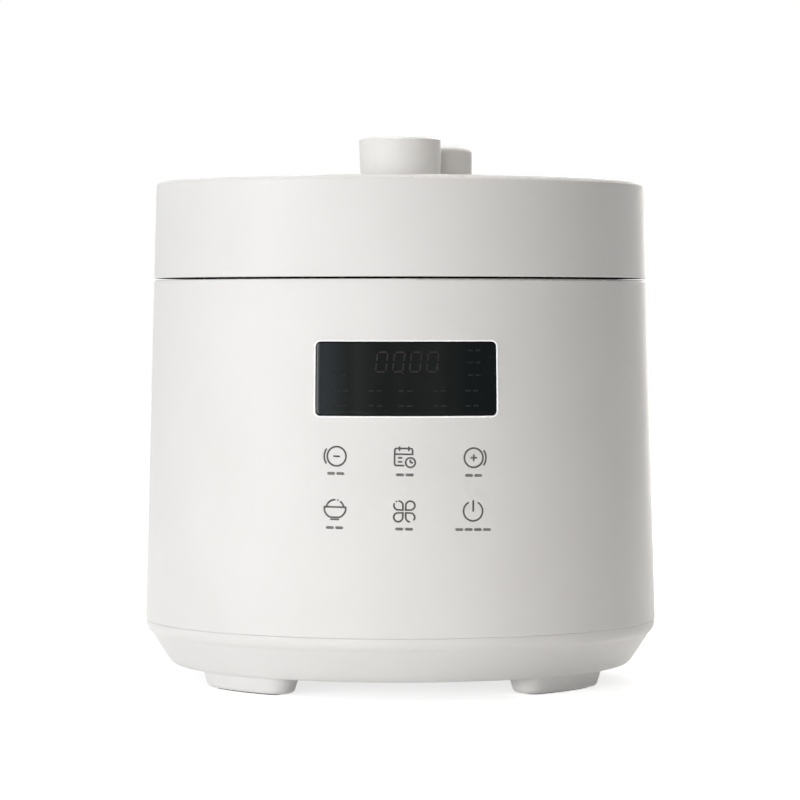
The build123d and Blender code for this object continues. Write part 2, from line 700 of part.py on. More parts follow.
def make_inner_pot():
    body = vessel(POT_OUT, POT_WALL, POT_FLOOR, POT_CORNER, POT_Z, RIM_Z)
    rim = ring(POT_OUT - POT_WALL / 2, RIM_R, RIM_Z - POT_WALL, RIM_Z)
    return body + (rim - disc(POT_R, POT_Z, RIM_Z + OVERCUT))


def element_ends():
    """Plan positions of the heating element's two terminals."""
    half = ELEMENT_ARC / 2
    return [polar(ELEMENT_R, 270 - half), polar(ELEMENT_R, 270 + half)]


def bolt_spots():
    return [polar(BOLT_RING_R, 90 + 360 / BOLTS * n) for n in range(BOLTS)]


def make_outer_pot():
    pot = vessel(OUTER_POT_R, OUTER_POT_WALL, OUTER_POT_WALL, OUTER_POT_CORNER, OUTER_POT_Z, FLANGE_Z)
    pot += ring(OUTER_POT_IN, RING_R, FLANGE_Z - OUTER_POT_WALL, FLANGE_Z)
    pot -= disc(SENSOR_HOLE_R, OUTER_POT_Z - OVERCUT, HEATER_Z)
    for x, y in element_ends():
        pot -= disc(ELEMENT_TUBE_R + 4 * ELEMENT_FIT, OUTER_POT_Z - OVERCUT, HEATER_Z, x, y)
    for x, y in bolt_spots():
        pot -= disc(BOLT_R + ELEMENT_FIT, OUTER_POT_Z - OVERCUT, HEATER_Z, x, y)
    return pot


def make_bayonet_ring():
    body = ring(RIM_R + RING_FOOT_CLEAR, RING_R, FLANGE_Z, FLANGE_Z + RING_FOOT_T)
    body += ring(RING_IN, RING_R, FLANGE_Z, RING_TOOTH_Z + TOOTH_T)
    for n in range(TEETH):
        centre = 360 / TEETH * n + LOCK_TURN
        body += sector(
            RING_TOOTH_R, RING_IN + RING_T / 2, RING_TOOTH_Z, RING_TOOTH_Z + TOOTH_T, centre, RING_TOOTH_ARC,
        )
    return body


# ---------------------------------------------------------------- heating
def make_heating_plate():
    plate = ring(HEATER_HOLE_R, HEATER_R, HEATER_Z, POT_Z)
    plate = rounded_at(plate, HEATER_EDGE, POT_Z, HEATER_R)
    groove_z = HEATER_Z + ELEMENT_SINK
    groove_r = ELEMENT_TUBE_R + ELEMENT_FIT
    plate -= Pos(0, 0, groove_z) * Torus(ELEMENT_R, groove_r)
    plate -= ring(ELEMENT_R - groove_r, ELEMENT_R + groove_r, HEATER_Z - OVERCUT, groove_z)
    for x, y in bolt_spots():
        plate -= disc(BOLT_R, HEATER_Z - OVERCUT, HEATER_Z + BOLT_BITE + BOLT_END, x, y)
    return plate


def make_heating_element():
    z = HEATER_Z + ELEMENT_SINK
    section = Plane.XZ * (Pos(ELEMENT_R, z) * Circle(ELEMENT_TUBE_R))
    tube = Rot(0, 0, 270 - ELEMENT_ARC / 2) * revolve(section, Axis.Z, revolution_arc=ELEMENT_ARC)
    for x, y in element_ends():
        tube += disc(ELEMENT_TUBE_R, z - TERMINAL_DROP, z, x, y)
        tube += Pos(x, y, z) * Sphere(ELEMENT_TUBE_R)
        tube += disc(TERMINAL_R, z - TERMINAL_DROP - TERMINAL_L, z - TERMINAL_DROP, x, y)
    return tube


def make_heater_spacers():
    low = OUTER_POT_Z + OUTER_POT_WALL
    return group(ring(BOLT_R + ELEMENT_FIT, SPACER_R, low, HEATER_Z, x, y) for x, y in bolt_spots())


def make_heater_bolts():
    one = screw(BOLT_R, BOLT_HEAD_R, BOLT_HEAD_T, HEATER_Z + BOLT_BITE - OUTER_POT_Z)
    return group(Pos(x, y, OUTER_POT_Z) * one for x, y in bolt_spots())


def make_sensor_cap():
    top = POT_Z - SENSOR_GAP
    cap = rounded_at(disc(SENSOR_R, top - SENSOR_H, top), SENSOR_EDGE, top, SENSOR_R)
    cap -= disc(SENSOR_R - SENSOR_WALL, top - SENSOR_H - OVERCUT, top - SENSOR_WALL)
    return cap + disc(SENSOR_SPRING_R - SPRING_CLEAR, top - SENSOR_H, top - SENSOR_WALL / 2)


def bracket_floor():
    """Top of the sensor bracket's dished floor."""
    return OUTER_POT_Z - BRACKET_DROP + BRACKET_T


def make_sensor_spring():
    top = POT_Z - SENSOR_GAP - SENSOR_WALL
    return coil(SENSOR_SPRING_R, bracket_floor(), top)


def make_sensor_bracket():
    low = OUTER_POT_Z - BRACKET_DROP
    dish_r = SENSOR_HOLE_R - DISH_INSET
    rim_z = OUTER_POT_Z - BRACKET_T
    return turned(
        (0, low), (dish_r, low), (dish_r, rim_z), (BRACKET_R, rim_z), (BRACKET_R, OUTER_POT_Z),
        (dish_r - BRACKET_T, OUTER_POT_Z), (dish_r - BRACKET_T, low + BRACKET_T), (0, low + BRACKET_T),
    )


def make_pressure_switch():
    half = SWITCH_L / 2
    top = OUTER_POT_Z - SWITCH_PIN
    body = block(SWITCH_X - half, SWITCH_X + half, -SWITCH_W / 2, SWITCH_W / 2, top - SWITCH_H, top)
    body += disc(SWITCH_PIN, top, OUTER_POT_Z, SWITCH_X)
    for low in (SWITCH_X - half, SWITCH_X + half - SWITCH_EAR_T):
        body += block(low, low + SWITCH_EAR_T, -SWITCH_W / 2, SWITCH_W / 2, top, OUTER_POT_Z)
    for x in (SWITCH_X - half + SWITCH_BLADE_IN, SWITCH_X + half - SWITCH_BLADE_IN):
        body += block(
            x - SWITCH_BLADE_T / 2, x + SWITCH_BLADE_T / 2, -SWITCH_BLADE_W / 2, SWITCH_BLADE_W / 2,
            top - SWITCH_H - SWITCH_BLADE_L, top - SWITCH_H,
        )
    return body


def make_thermal_fuse():
    z = OUTER_POT_Z - FUSE_R - FUSE_CLIP
    body = rod_y(FUSE_R, FUSE_X, z, -FUSE_L / 2, FUSE_L / 2)
    for y in (-FUSE_L / 4, FUSE_L / 4):
        body += block(
            FUSE_X - FUSE_R - FUSE_CLIP, FUSE_X + FUSE_R + FUSE_CLIP,
            y - FUSE_STRAP_W / 2, y + FUSE_STRAP_W / 2, z, OUTER_POT_Z,
        )
    return body


# ---------------------------------------------------------------- display and controls
def make_display_window():
    band = cone_solid(0, SEAM_Z, SHELL_TOP) - cone_solid(WINDOW_T, SEAM_Z - OVERCUT, SHELL_TOP + OVERCUT)
    return window_bar(0, -side_r(SEAM_Z) - OVERCUT, 0) & band


def make_display_module():
    inside = cone_solid(SHELL_WALL + 2 * PAD_GAP, SEAM_Z, SHELL_TOP)
    y_front = -sqrt((side_r(WINDOW_Z) - SHELL_WALL - 2 * PAD_GAP) ** 2 - (MODULE_W / 2) ** 2)
    body = block(
        -MODULE_W / 2, MODULE_W / 2, y_front, -BOARD_Y, WINDOW_Z - MODULE_H / 2, WINDOW_Z + MODULE_H / 2,
    )
    return body & inside


def make_control_board():
    top = SHELL_TOP - BOARD_TOP
    board = block(-BOARD_W / 2, BOARD_W / 2, -BOARD_Y, -BOARD_Y + BOARD_T, top - BOARD_H, top)
    for x, z in board_spots():
        board -= rod_y(SCREW_R + PAD_GAP, x, z, -BOARD_Y - OVERCUT, -BOARD_Y + BOARD_T + OVERCUT)
    return board


def make_board_carrier():
    top = SHELL_TOP - BOARD_TOP
    front = -BOARD_Y + BOARD_T
    reach = CARRIER_MARGIN + PAD_GAP
    plate = block(
        -BOARD_W / 2 - PAD_GAP, BOARD_W / 2 + PAD_GAP, front, front + CARRIER_T,
        top - BOARD_H - reach, top + reach,
    )
    plate -= block(
        -BOARD_W / 2 + CARRIER_FRAME, BOARD_W / 2 - CARRIER_FRAME, front - OVERCUT,
        front + CARRIER_T + OVERCUT, top - BOARD_H + CARRIER_FRAME, top - CARRIER_FRAME,
    )
    for z_low in (top - BOARD_H - reach, top + PAD_GAP):
        plate += block(
            -BOARD_W / 2, BOARD_W / 2, -BOARD_Y - CARRIER_LIP, front + CARRIER_T,
            z_low, z_low + CARRIER_MARGIN,
        )
    for x, z in board_spots():
        plate -= rod_y(SCREW_R + PAD_GAP, x, z, front - OVERCUT, front + CARRIER_T + OVERCUT)
    return plate


def make_board_screws():
    head_y = -BOARD_Y + BOARD_T + CARRIER_T
    one = Rot(90, 0, 0) * small_screw(BOARD_T + CARRIER_T + BOARD_SCREW_BITE)
    return group(Pos(x, head_y, z) * one for x, z in board_spots())


def make_touch_pads():
    inside = cone_solid(SHELL_WALL + PAD_GAP, SEAM_Z, SHELL_TOP)
    pads = []
    for drop in KEY_DROPS:
        z = SHELL_TOP - drop
        for column in (-1, 0, 1):
            x = side_r(z) * sin(radians(column * KEY_ANGLE))
            pads.append(rod_y(KEY_PAD_R, x, z, -side_r(SEAM_Z), -BOARD_Y) & inside)
    return group(pads)


# ---------------------------------------------------------------- power
def c14_outline(grow):
    """Keyed socket outline: a rectangle with its two upper corners cut off."""
    w = CAVITY_W / 2 + grow
    h = CAVITY_H / 2 + grow
    c = CAVITY_CHAMFER
    points = ((-w, -h), (w, -h), (w, h - c), (w - c, h), (-w + c, h), (-w, h - c))
    return make_face(Polyline(*points, close=True))


def make_power_inlet():
    pad_y = INLET_Y - INLET_FLANGE_T
    body = front_bar(INLET_W, INLET_H, INLET_CORNER, 0, INLET_Z, pad_y, INLET_Y)
    body += block(
        -INLET_BODY_W / 2, INLET_BODY_W / 2, INLET_Y - INLET_DEPTH, pad_y + INLET_FLANGE_T / 2,
        INLET_Z - INLET_BODY_H / 2, INLET_Z + INLET_BODY_H / 2,
    )
    plane = Plane(origin=(0, INLET_Y - CAVITY_DEPTH, INLET_Z), x_dir=(-1, 0, 0), z_dir=(0, 1, 0))
    body -= extrude(plane * c14_outline(0), CAVITY_DEPTH + OVERCUT)
    for x, z in pin_spots():
        body -= block(
            x - PIN_W / 2, x + PIN_W / 2, INLET_Y - INLET_DEPTH - OVERCUT, INLET_Y - CAVITY_DEPTH + OVERCUT,
            z - PIN_H / 2, z + PIN_H / 2,
        )
    for x in (-INLET_PITCH, INLET_PITCH):
        body -= rod_y(SCREW_R + PAD_GAP, x, INLET_Z, pad_y - OVERCUT, INLET_Y + OVERCUT)
    return body


def pin_spots():
    """Places of the live, neutral and earth pins, in x and z."""
    return [(-PIN_X, INLET_Z - PIN_Z), (PIN_X, INLET_Z - PIN_Z), (0, INLET_Z + PIN_Z)]


def make_inlet_pins():
    y_low = INLET_Y - INLET_DEPTH - PIN_TAIL
    y_high = INLET_Y - CAVITY_DEPTH + PIN_L
    return group(
        block(x - PIN_W / 2, x + PIN_W / 2, y_low, y_high, z - PIN_H / 2, z + PIN_H / 2)
        for x, z in pin_spots()
    )


def make_inlet_screws():
    one = Rot(90, 0, 0) * small_screw(INLET_FLANGE_T + INLET_PAD_T)
    return group(Pos(x, INLET_Y, INLET_Z) * one for x in (-INLET_PITCH, INLET_PITCH))


def make_power_board():
    y_low = PCB_Y - PCB_D / 2
    board = block(-PCB_W / 2, PCB_W / 2, y_low, y_low + PCB_D, PCB_Z, PCB_Z + PCB_T)
    for x, y in pcb_spots():
        board -= disc(SCREW_R + PAD_GAP, PCB_Z - OVERCUT, PCB_Z + PCB_T + OVERCUT, x, y)
    return board


def make_power_board_screws():
    top = PCB_Z + PCB_T
    one = Rot(180, 0, 0) * small_screw(top - FLOOR_Z)
    return group(Pos(x, y, top) * one for x, y in pcb_spots())


def on_board(x, y, size):
    """Box that stands on the power board; x and y are from the board's centre."""
    width, depth, height = size
    top = PCB_Z + PCB_T
    return block(
        x - width / 2, x + width / 2, PCB_Y + y - depth / 2, PCB_Y + y + depth / 2, top, top + height,
    )


def make_transformer():
    return on_board(TRANSFORMER_X, 0, TRANSFORMER_CORE) + on_board(TRANSFORMER_X, 0, TRANSFORMER_COIL)


def make_relay():
    return on_board(RELAY_X, RELAY_Y, RELAY_SIZE)


def make_capacitor():
    return on_board(CAPACITOR_X, CAPACITOR_Y, CAPACITOR_SIZE)


def make_terminal_block():
    body = on_board(TERMINAL_BLOCK_X, 0, TERMINAL_BLOCK_SIZE)
    top = PCB_Z + PCB_T + TERMINAL_BLOCK_SIZE[2]
    for n in range(TERMINALS):
        y = PCB_Y + (n - (TERMINALS - 1) / 2) * TERMINAL_PITCH
        body -= disc(TERMINAL_HOLE_R, top - TERMINAL_HOLE_DEPTH, top + OVERCUT, TERMINAL_BLOCK_X, y)
    return body


# ---------------------------------------------------------------- drip cup
def make_drip_cup():
    outside = side_r(SEAM_Z) + OVERCUT
    body = cup_bar(0, CUP_BACK, outside) & cone_solid(0, SEAM_Z, SHELL_TOP)
    hollow = block(
        -CUP_W / 2 + CUP_WALL, CUP_W / 2 - CUP_WALL, CUP_BACK + CUP_WALL, outside,
        CUP_LOW + CUP_WALL, CUP_TOP + OVERCUT,
    )
    body -= hollow & cone_solid(CUP_WALL, SEAM_Z, SHELL_TOP)
    grip_z = CUP_TOP - GRIP_DROP
    backing = front_bar(
        GRIP_W + 2 * GRIP_WALL, GRIP_H + 2 * GRIP_WALL, GRIP_H * GRIP_ROUND, 0, grip_z,
        CUP_BACK + CUP_WALL, outside,
    )
    body += backing & (
        cone_solid(0, SEAM_Z, SHELL_TOP) - cone_solid(GRIP_DEPTH + CUP_WALL, SEAM_Z, SHELL_TOP)
    )
    grip = front_bar(GRIP_W, GRIP_H, GRIP_H * GRIP_ROUND, 0, grip_z, CUP_BACK, outside)
    return body - (grip - cone_solid(GRIP_DEPTH, SEAM_Z, SHELL_TOP))


# ---------------------------------------------------------------- lid
def well(side, grow, low, high):
    """One crescent finger well as a solid; side is -1 or 1."""
    flat = BRIDGE_W / 2 - grow
    reach = WELL_R + grow
    tip = sqrt(reach ** 2 - flat ** 2)
    outline = make_face([
        Line((flat, -tip), (flat, tip)), ThreePointArc((flat, tip), (reach, 0), (flat, -tip)),
    ])
    outline = fillet(outline.vertices(), WELL_CORNER + grow)
    return Rot(0, 0, 0 if side > 0 else 180) * (Pos(0, 0, low) * extrude(outline, high - low))


def lid_screw_spots():
    a = LID_SCREW_ANGLE
    return [polar(LID_SCREW_R, angle) for angle in (a, 180 - a, 180 + a, -a)]


def pivot_at(along, across=0.0):
    """Plan point on the line from the valve axis to the release button."""
    x, y = polar(along, BUTTON_DIR)
    dx, dy = polar(across, BUTTON_DIR + 90)
    return x + dx, y + dy


def along_lever(s_low, s_high, across, z_low, z_high, shift=0.0):
    """Box laid along the lever's line, centred across it at shift."""
    return Rot(0, 0, BUTTON_DIR) * block(
        s_low, s_high, shift - across / 2, shift + across / 2, z_low, z_high,
    )


def lever_pin_z():
    return LEVER_TOP - LEVER_T / 2


def lever_pin_rod(r, half_length):
    x, y = pivot_at(PIVOT_S)
    nx, ny = polar(1, BUTTON_DIR + 90)
    start = (x - nx * half_length, y - ny * half_length, lever_pin_z())
    return extrude(Plane(origin=start, z_dir=(nx, ny, 0)) * Circle(r), 2 * half_length)


def lug_shift():
    return LEVER_W / 2 + LUG_GAP + LUG_T / 2


def make_lid_cover():
    outer = rounded_at(cone_solid(0, LID_LOW, LID_TOP), LID_EDGE, LID_TOP, side_r(LID_TOP))
    outer = rounded_at(outer, SHELL_EDGE / 2, LID_LOW, side_r(LID_LOW))
    inner = cone_solid(LID_WALL, LID_LOW - OVERCUT, LID_TOP - LID_WALL)
    floor = LID_TOP - WELL_DEPTH
    for side in (-1, 1):
        inner -= well(side, WELL_WALL, floor - WELL_WALL, LID_TOP)
    cover = outer - inner
    for side in (-1, 1):
        cover -= well(side, 0, floor, LID_TOP)
    mouth = [
        e for e in cover.edges()
        if abs(e.bounding_box().min.Z - LID_TOP) < NEAR and abs(e.bounding_box().max.Z - LID_TOP) < NEAR
        and e.bounding_box().max.X - e.bounding_box().min.X < 2 * WELL_R
    ]
    cover = fillet(mouth, WELL_EDGE)

    # bosses for the metal lid's screws
    for x, y in lid_screw_spots():
        cover += disc(BASE_POST_R, METAL_TOP, floor - WELL_WALL / 2, x, y)
        cover -= disc(SCREW_R, METAL_TOP - OVERCUT, METAL_TOP + LID_SCREW_BITE + LID_SCREW_END, x, y)

    # lugs that carry the lever's pin
    for side in (-1, 1):
        cover += along_lever(
            PIVOT_S - LUG_W / 2, PIVOT_S + LUG_W / 2, LUG_T, lever_pin_z() - LUG_W / 2,
            LID_TOP - LID_WALL / 2, side * lug_shift(),
        )
    cover -= lever_pin_rod(LEVER_PIN_R, lug_shift() + LUG_T)
    cover -= along_lever(
        LEVER_REACH, PIVOT_S - LUG_W / 2, LEVER_W + 2 * LUG_GAP, LID_TOP - LID_WALL - OVERCUT,
        LID_TOP - LID_WALL + LEVER_ROOM,
    )

    # holes for the valve, the button's stem and the float
    cover -= disc(CAP_R - CAP_WALL - CAP_FIT - COLLAR_T, LID_TOP - 2 * LID_WALL, LID_TOP + OVERCUT)
    cover -= disc(STEM_R + 2 * STEM_FIT, LID_TOP - 2 * LID_WALL, LID_TOP + OVERCUT, BUTTON_X, BUTTON_Y)
    cover -= disc(FLOAT_R + FLOAT_FIT, LID_TOP - 2 * LID_WALL, LID_TOP + OVERCUT, FLOAT_X, FLOAT_Y)
    return cover


def make_bridge_cover():
    flat = BRIDGE_W / 2 - BRIDGE_INSET
    plate = disc(BRIDGE_R, LID_TOP, BRIDGE_TOP) & block(
        -flat, flat, -BRIDGE_R, BRIDGE_R, LID_TOP - OVERCUT, BRIDGE_TOP + OVERCUT,
    )
    upright = [e for e in plate.edges() if e.bounding_box().size.Z > BRIDGE_H - NEAR]
    plate = fillet(upright, WELL_CORNER)
    top = [e for e in plate.edges() if e.bounding_box().min.Z > BRIDGE_TOP - NEAR]
    plate = fillet(top, BRIDGE_EDGE)

    collar_r = CAP_R - CAP_WALL - CAP_FIT
    plate += disc(collar_r, LID_TOP, BRIDGE_TOP + COLLAR_H)
    plate -= disc(collar_r - COLLAR_T, LID_TOP - OVERCUT, BRIDGE_TOP + COLLAR_H + OVERCUT)

    guide_r = BUTTON_R - BUTTON_WALL - GUIDE_GAP
    plate += disc(guide_r, LID_TOP, BRIDGE_TOP + GUIDE_H, BUTTON_X, BUTTON_Y)
    bore = guide_r - GUIDE_WALL
    plate -= disc(bore, BRIDGE_TOP + GUIDE_FLOOR, BRIDGE_TOP + GUIDE_H + OVERCUT, BUTTON_X, BUTTON_Y)
    plate -= disc(STEM_R + STEM_FIT, LID_TOP - OVERCUT, BRIDGE_TOP + GUIDE_H, BUTTON_X, BUTTON_Y)
    return plate - disc(FLOAT_R + FLOAT_FIT, LID_TOP - OVERCUT, BRIDGE_TOP + OVERCUT, FLOAT_X, FLOAT_Y)


def make_lid_under_ring():
    inner = SKIRT_R + RING_FIT
    outer = side_r(LID_LOW) - LID_WALL - RING_FIT
    body = ring(inner, outer, LID_LOW, LID_LOW + UNDER_RING_T)
    body += ring(outer - UNDER_RING_T, outer - RING_FIT, LID_LOW, LID_LOW + UNDER_RING_LIP)
    return body + ring(inner, inner + UNDER_RING_T, LID_LOW, LID_LOW + UNDER_RING_LIP)


def make_metal_lid():
    shell = disc(SKIRT_R, TOOTH_Z, METAL_TOP)
    shell = rounded_at(shell, METAL_LID_CORNER, METAL_TOP, SKIRT_R)
    shell -= rounded_at(
        disc(SKIRT_IN, TOOTH_Z - OVERCUT, METAL_TOP - METAL_LID_T), METAL_LID_CORNER - METAL_LID_T,
        METAL_TOP - METAL_LID_T, SKIRT_IN,
    )
    for n in range(TEETH):
        centre = 360 / TEETH * n
        shell += sector(
            SKIRT_R - METAL_LID_T / 2, TOOTH_R, TOOTH_Z, TOOTH_Z + TOOTH_T, centre, LID_TOOTH_ARC,
        )
    low = METAL_TOP - METAL_LID_T - OVERCUT
    shell -= disc(NOZZLE_R, low, METAL_TOP + OVERCUT)
    shell -= disc(FLOAT_R + FLOAT_FIT, low, METAL_TOP + OVERCUT, FLOAT_X, FLOAT_Y)
    for x, y in lid_screw_spots():
        shell -= disc(SCREW_R + PAD_GAP, low, METAL_TOP + OVERCUT, x, y)
    return shell


def make_lid_screws():
    one = small_screw(METAL_LID_T + LID_SCREW_BITE)
    return group(Pos(x, y, METAL_TOP - METAL_LID_T) * one for x, y in lid_screw_spots())


def make_sealing_ring():
    low = RIM_Z + SEAL_FIT
    high = METAL_TOP - METAL_LID_T - SEAL_TOP_GAP
    r = RIM_R - SEAL_FIT
    wall = r - SEAL_WALL
    lip = r - SEAL_LIP
    return turned(
        (lip, low), (r, low), (r, high - SEAL_CHAMFER), (r - SEAL_CHAMFER, high), (lip + SEAL_LIP_T, high),
        (lip + SEAL_LIP_T, high - SEAL_LIP_T), (wall, high - SEAL_LIP_T), (wall, low + SEAL_LIP_T),
        (lip, low + SEAL_LIP_T),
    )


# ---------------------------------------------------------------- valve, button and float
def make_valve_nozzle():
    low = METAL_TOP - METAL_LID_T - NUT_T - NOZZLE_END
    high = BRIDGE_TOP + NOZZLE_TIP
    body = disc(NOZZLE_R, low, high) + disc(NOZZLE_FLANGE_R, METAL_TOP, METAL_TOP + NOZZLE_FLANGE_T)
    return body - disc(NOZZLE_BORE, low - OVERCUT, high + OVERCUT)


def make_nozzle_nut():
    top = METAL_TOP - METAL_LID_T
    nut = Pos(0, 0, top - NUT_T) * extrude(RegularPolygon(NUT_AF / 2, 6, major_radius=False), NUT_T)
    return nut - disc(NOZZLE_R, top - NUT_T - OVERCUT, top + OVERCUT)


def make_anti_clog_cover():
    top = METAL_TOP - METAL_LID_T
    cup = rounded_at(disc(CLOG_R, top - CLOG_H, top), CLOG_EDGE, top - CLOG_H, CLOG_R)
    cup -= disc(CLOG_R - CLOG_WALL, top - CLOG_H + CLOG_WALL, top + OVERCUT)
    for n in range(CLOG_HOLES):
        x, y = polar(CLOG_R - CLOG_HOLE_IN, 360 / CLOG_HOLES * n)
        cup -= disc(CLOG_HOLE_R, top - CLOG_H - OVERCUT, top - CLOG_H + CLOG_WALL + OVERCUT, x, y)
    return cup


def make_valve_cap():
    top = BRIDGE_TOP + CAP_H
    foot = CAP_R
    head = CAP_R + CAP_FLARE
    corner_z = top - CAP_BEVEL[1]
    solid = turned(
        (0, BRIDGE_TOP), (foot, BRIDGE_TOP), (head, corner_z), (head - CAP_BEVEL[0], top), (0, top),
    )
    solid = rounded_at(solid, CAP_EDGE, corner_z, head)
    solid -= turned(
        (0, BRIDGE_TOP - OVERCUT), (foot - CAP_WALL, BRIDGE_TOP - OVERCUT),
        (head - CAP_WALL, top - CAP_WALL), (0, top - CAP_WALL),
    )
    vent_low = BRIDGE_TOP - OVERCUT
    slot = block(-2 * CAP_R, 2 * CAP_R, -VENT_W / 2, VENT_W / 2, vent_low, BRIDGE_TOP + VENT_H)
    for n in range(CAP_VENTS // 2):
        solid -= Rot(0, 0, 360 / CAP_VENTS * (n + 0.5)) * slot
    return solid


def make_valve_weight():
    low = LEVER_TOP + WEIGHT_FIT
    body = rounded_at(disc(WEIGHT_R, low, low + WEIGHT_H), WEIGHT_EDGE, low + WEIGHT_H, WEIGHT_R)
    body += disc(WEIGHT_FLANGE_R, low, low + WEIGHT_FLANGE_T)
    return body - disc(NOZZLE_R + WEIGHT_FIT, low - OVERCUT, BRIDGE_TOP + NOZZLE_TIP)


def make_release_button():
    body = rounded_at(disc(BUTTON_R, BUTTON_LOW, BUTTON_TOP), BUTTON_EDGE, BUTTON_TOP, BUTTON_R)
    body -= disc(BUTTON_R - BUTTON_WALL, BUTTON_LOW - OVERCUT, BUTTON_TOP - BUTTON_WALL)
    tip = LEVER_TOP + STEM_FIT
    body += disc(STEM_R, tip + STEM_TIP_L, BUTTON_TOP - BUTTON_WALL / 2)
    body += disc(STEM_TIP_R, tip, tip + STEM_TIP_L)
    return Pos(BUTTON_X, BUTTON_Y, 0) * body


def make_button_spring():
    low = BRIDGE_TOP + GUIDE_FLOOR
    return coil(STEM_R + SPRING_CLEAR, low, BUTTON_TOP - BUTTON_WALL, BUTTON_X, BUTTON_Y)


def make_vent_lever():
    low = LEVER_TOP - LEVER_T
    bar = along_lever(LEVER_REACH, BUTTON_S + LEVER_TAIL, LEVER_W, low, LEVER_TOP)
    return bar - lever_pin_rod(LEVER_PIN_R + LEVER_PIN_FIT, LEVER_W)


def make_lever_pin():
    return lever_pin_rod(LEVER_PIN_R, lug_shift() + LUG_T / 2)


def float_seat():
    """Underside of the float's head at rest."""
    return METAL_TOP - METAL_LID_T - FLOAT_STOP - FLOAT_TRAVEL - FLOAT_SEAL_T - FLOAT_HEAD_T


def make_float_pin():
    low = float_seat()
    body = disc(FLOAT_R, low, BRIDGE_TOP - FLOAT_SUNK, FLOAT_X, FLOAT_Y)
    return body + disc(FLOAT_HEAD_R, low, low + FLOAT_HEAD_T, FLOAT_X, FLOAT_Y)


def make_float_seal():
    low = float_seat() + FLOAT_HEAD_T
    return ring(FLOAT_R, FLOAT_HEAD_R - FLOAT_SEAL_IN, low, low + FLOAT_SEAL_T, FLOAT_X, FLOAT_Y)


# ---------------------------------------------------------------- all parts
PARTS = {
    "base_cover": make_base_cover,
    "foot_pads": make_foot_pads,
    "base_screws": make_base_screws,
    "outer_shell": make_outer_shell,
    "upper_ring": make_upper_ring,
    "inner_pot": make_inner_pot,
    "outer_pot": make_outer_pot,
    "bayonet_ring": make_bayonet_ring,
    "heating_plate": make_heating_plate,
    "heating_element": make_heating_element,
    "heater_spacers": make_heater_spacers,
    "heater_bolts": make_heater_bolts,
    "sensor_cap": make_sensor_cap,
    "sensor_spring": make_sensor_spring,
    "sensor_bracket": make_sensor_bracket,
    "pressure_switch": make_pressure_switch,
    "thermal_fuse": make_thermal_fuse,
    "display_window": make_display_window,
    "display_module": make_display_module,
    "control_board": make_control_board,
    "board_carrier": make_board_carrier,
    "board_screws": make_board_screws,
    "touch_pads": make_touch_pads,
    "power_inlet": make_power_inlet,
    "inlet_pins": make_inlet_pins,
    "inlet_screws": make_inlet_screws,
    "power_board": make_power_board,
    "power_board_screws": make_power_board_screws,
    "transformer": make_transformer,
    "relay": make_relay,
    "capacitor": make_capacitor,
    "terminal_block": make_terminal_block,
    "drip_cup": make_drip_cup,
    "lid_cover": make_lid_cover,
    "bridge_cover": make_bridge_cover,
    "lid_under_ring": make_lid_under_ring,
    "metal_lid": make_metal_lid,
    "lid_screws": make_lid_screws,
    "sealing_ring": make_sealing_ring,
    "valve_nozzle": make_valve_nozzle,
    "nozzle_nut": make_nozzle_nut,
    "anti_clog_cover": make_anti_clog_cover,
    "valve_cap": make_valve_cap,
    "valve_weight": make_valve_weight,
    "release_button": make_release_button,
    "button_spring": make_button_spring,
    "vent_lever": make_vent_lever,
    "lever_pin": make_lever_pin,
    "float_pin": make_float_pin,
    "float_seal": make_float_seal,
}

os.makedirs("parts", exist_ok=True)
for name, make in PARTS.items():
    export_step(make(), f"parts/{name}.step")
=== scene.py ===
import json
import math

import bmesh
import bpy
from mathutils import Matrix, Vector


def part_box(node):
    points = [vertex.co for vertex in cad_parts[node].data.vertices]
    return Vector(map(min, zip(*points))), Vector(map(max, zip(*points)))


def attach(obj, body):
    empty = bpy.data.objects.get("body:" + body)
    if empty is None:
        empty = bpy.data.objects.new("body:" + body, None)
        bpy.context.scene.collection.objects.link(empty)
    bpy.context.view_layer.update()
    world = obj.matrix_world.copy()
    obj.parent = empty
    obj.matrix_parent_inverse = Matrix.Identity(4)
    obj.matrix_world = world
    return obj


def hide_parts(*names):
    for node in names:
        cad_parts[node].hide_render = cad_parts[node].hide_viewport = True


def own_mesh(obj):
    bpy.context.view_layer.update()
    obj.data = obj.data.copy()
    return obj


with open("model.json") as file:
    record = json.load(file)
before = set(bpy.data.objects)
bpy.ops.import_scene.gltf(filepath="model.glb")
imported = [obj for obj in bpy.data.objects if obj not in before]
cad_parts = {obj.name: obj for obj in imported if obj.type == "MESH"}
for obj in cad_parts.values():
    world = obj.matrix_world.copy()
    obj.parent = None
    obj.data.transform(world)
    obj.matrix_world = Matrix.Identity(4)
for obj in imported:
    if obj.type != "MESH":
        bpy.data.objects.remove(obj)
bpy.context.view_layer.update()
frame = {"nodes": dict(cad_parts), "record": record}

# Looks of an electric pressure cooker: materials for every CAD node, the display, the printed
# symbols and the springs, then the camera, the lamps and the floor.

MM = 0.001


# ------------------------------------------------------------------ the body's outer cone
SHELL_LOW, SHELL_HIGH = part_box("outer_shell")
LID_LOW, LID_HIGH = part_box("lid_cover")
WINDOW_LOW, WINDOW_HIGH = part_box("display_window")
LID_FOOT_EDGE = 0.5 * MM     # rounding of the lid's lower edge
SEAM_R = (SHELL_HIGH.x - SHELL_LOW.x) / 2
LID_R = (LID_HIGH.x - LID_LOW.x) / 2
SLOPE = (SEAM_R - LID_R) / (LID_LOW.z + LID_FOOT_EDGE - SHELL_LOW.z)


def side_r(z):
    """Radius of the outer cone at a height."""
    return SEAM_R - SLOPE * (z - SHELL_LOW.z)


PANEL_Z = (WINDOW_LOW.z + WINDOW_HIGH.z) / 2
PANEL_R = side_r(PANEL_Z)


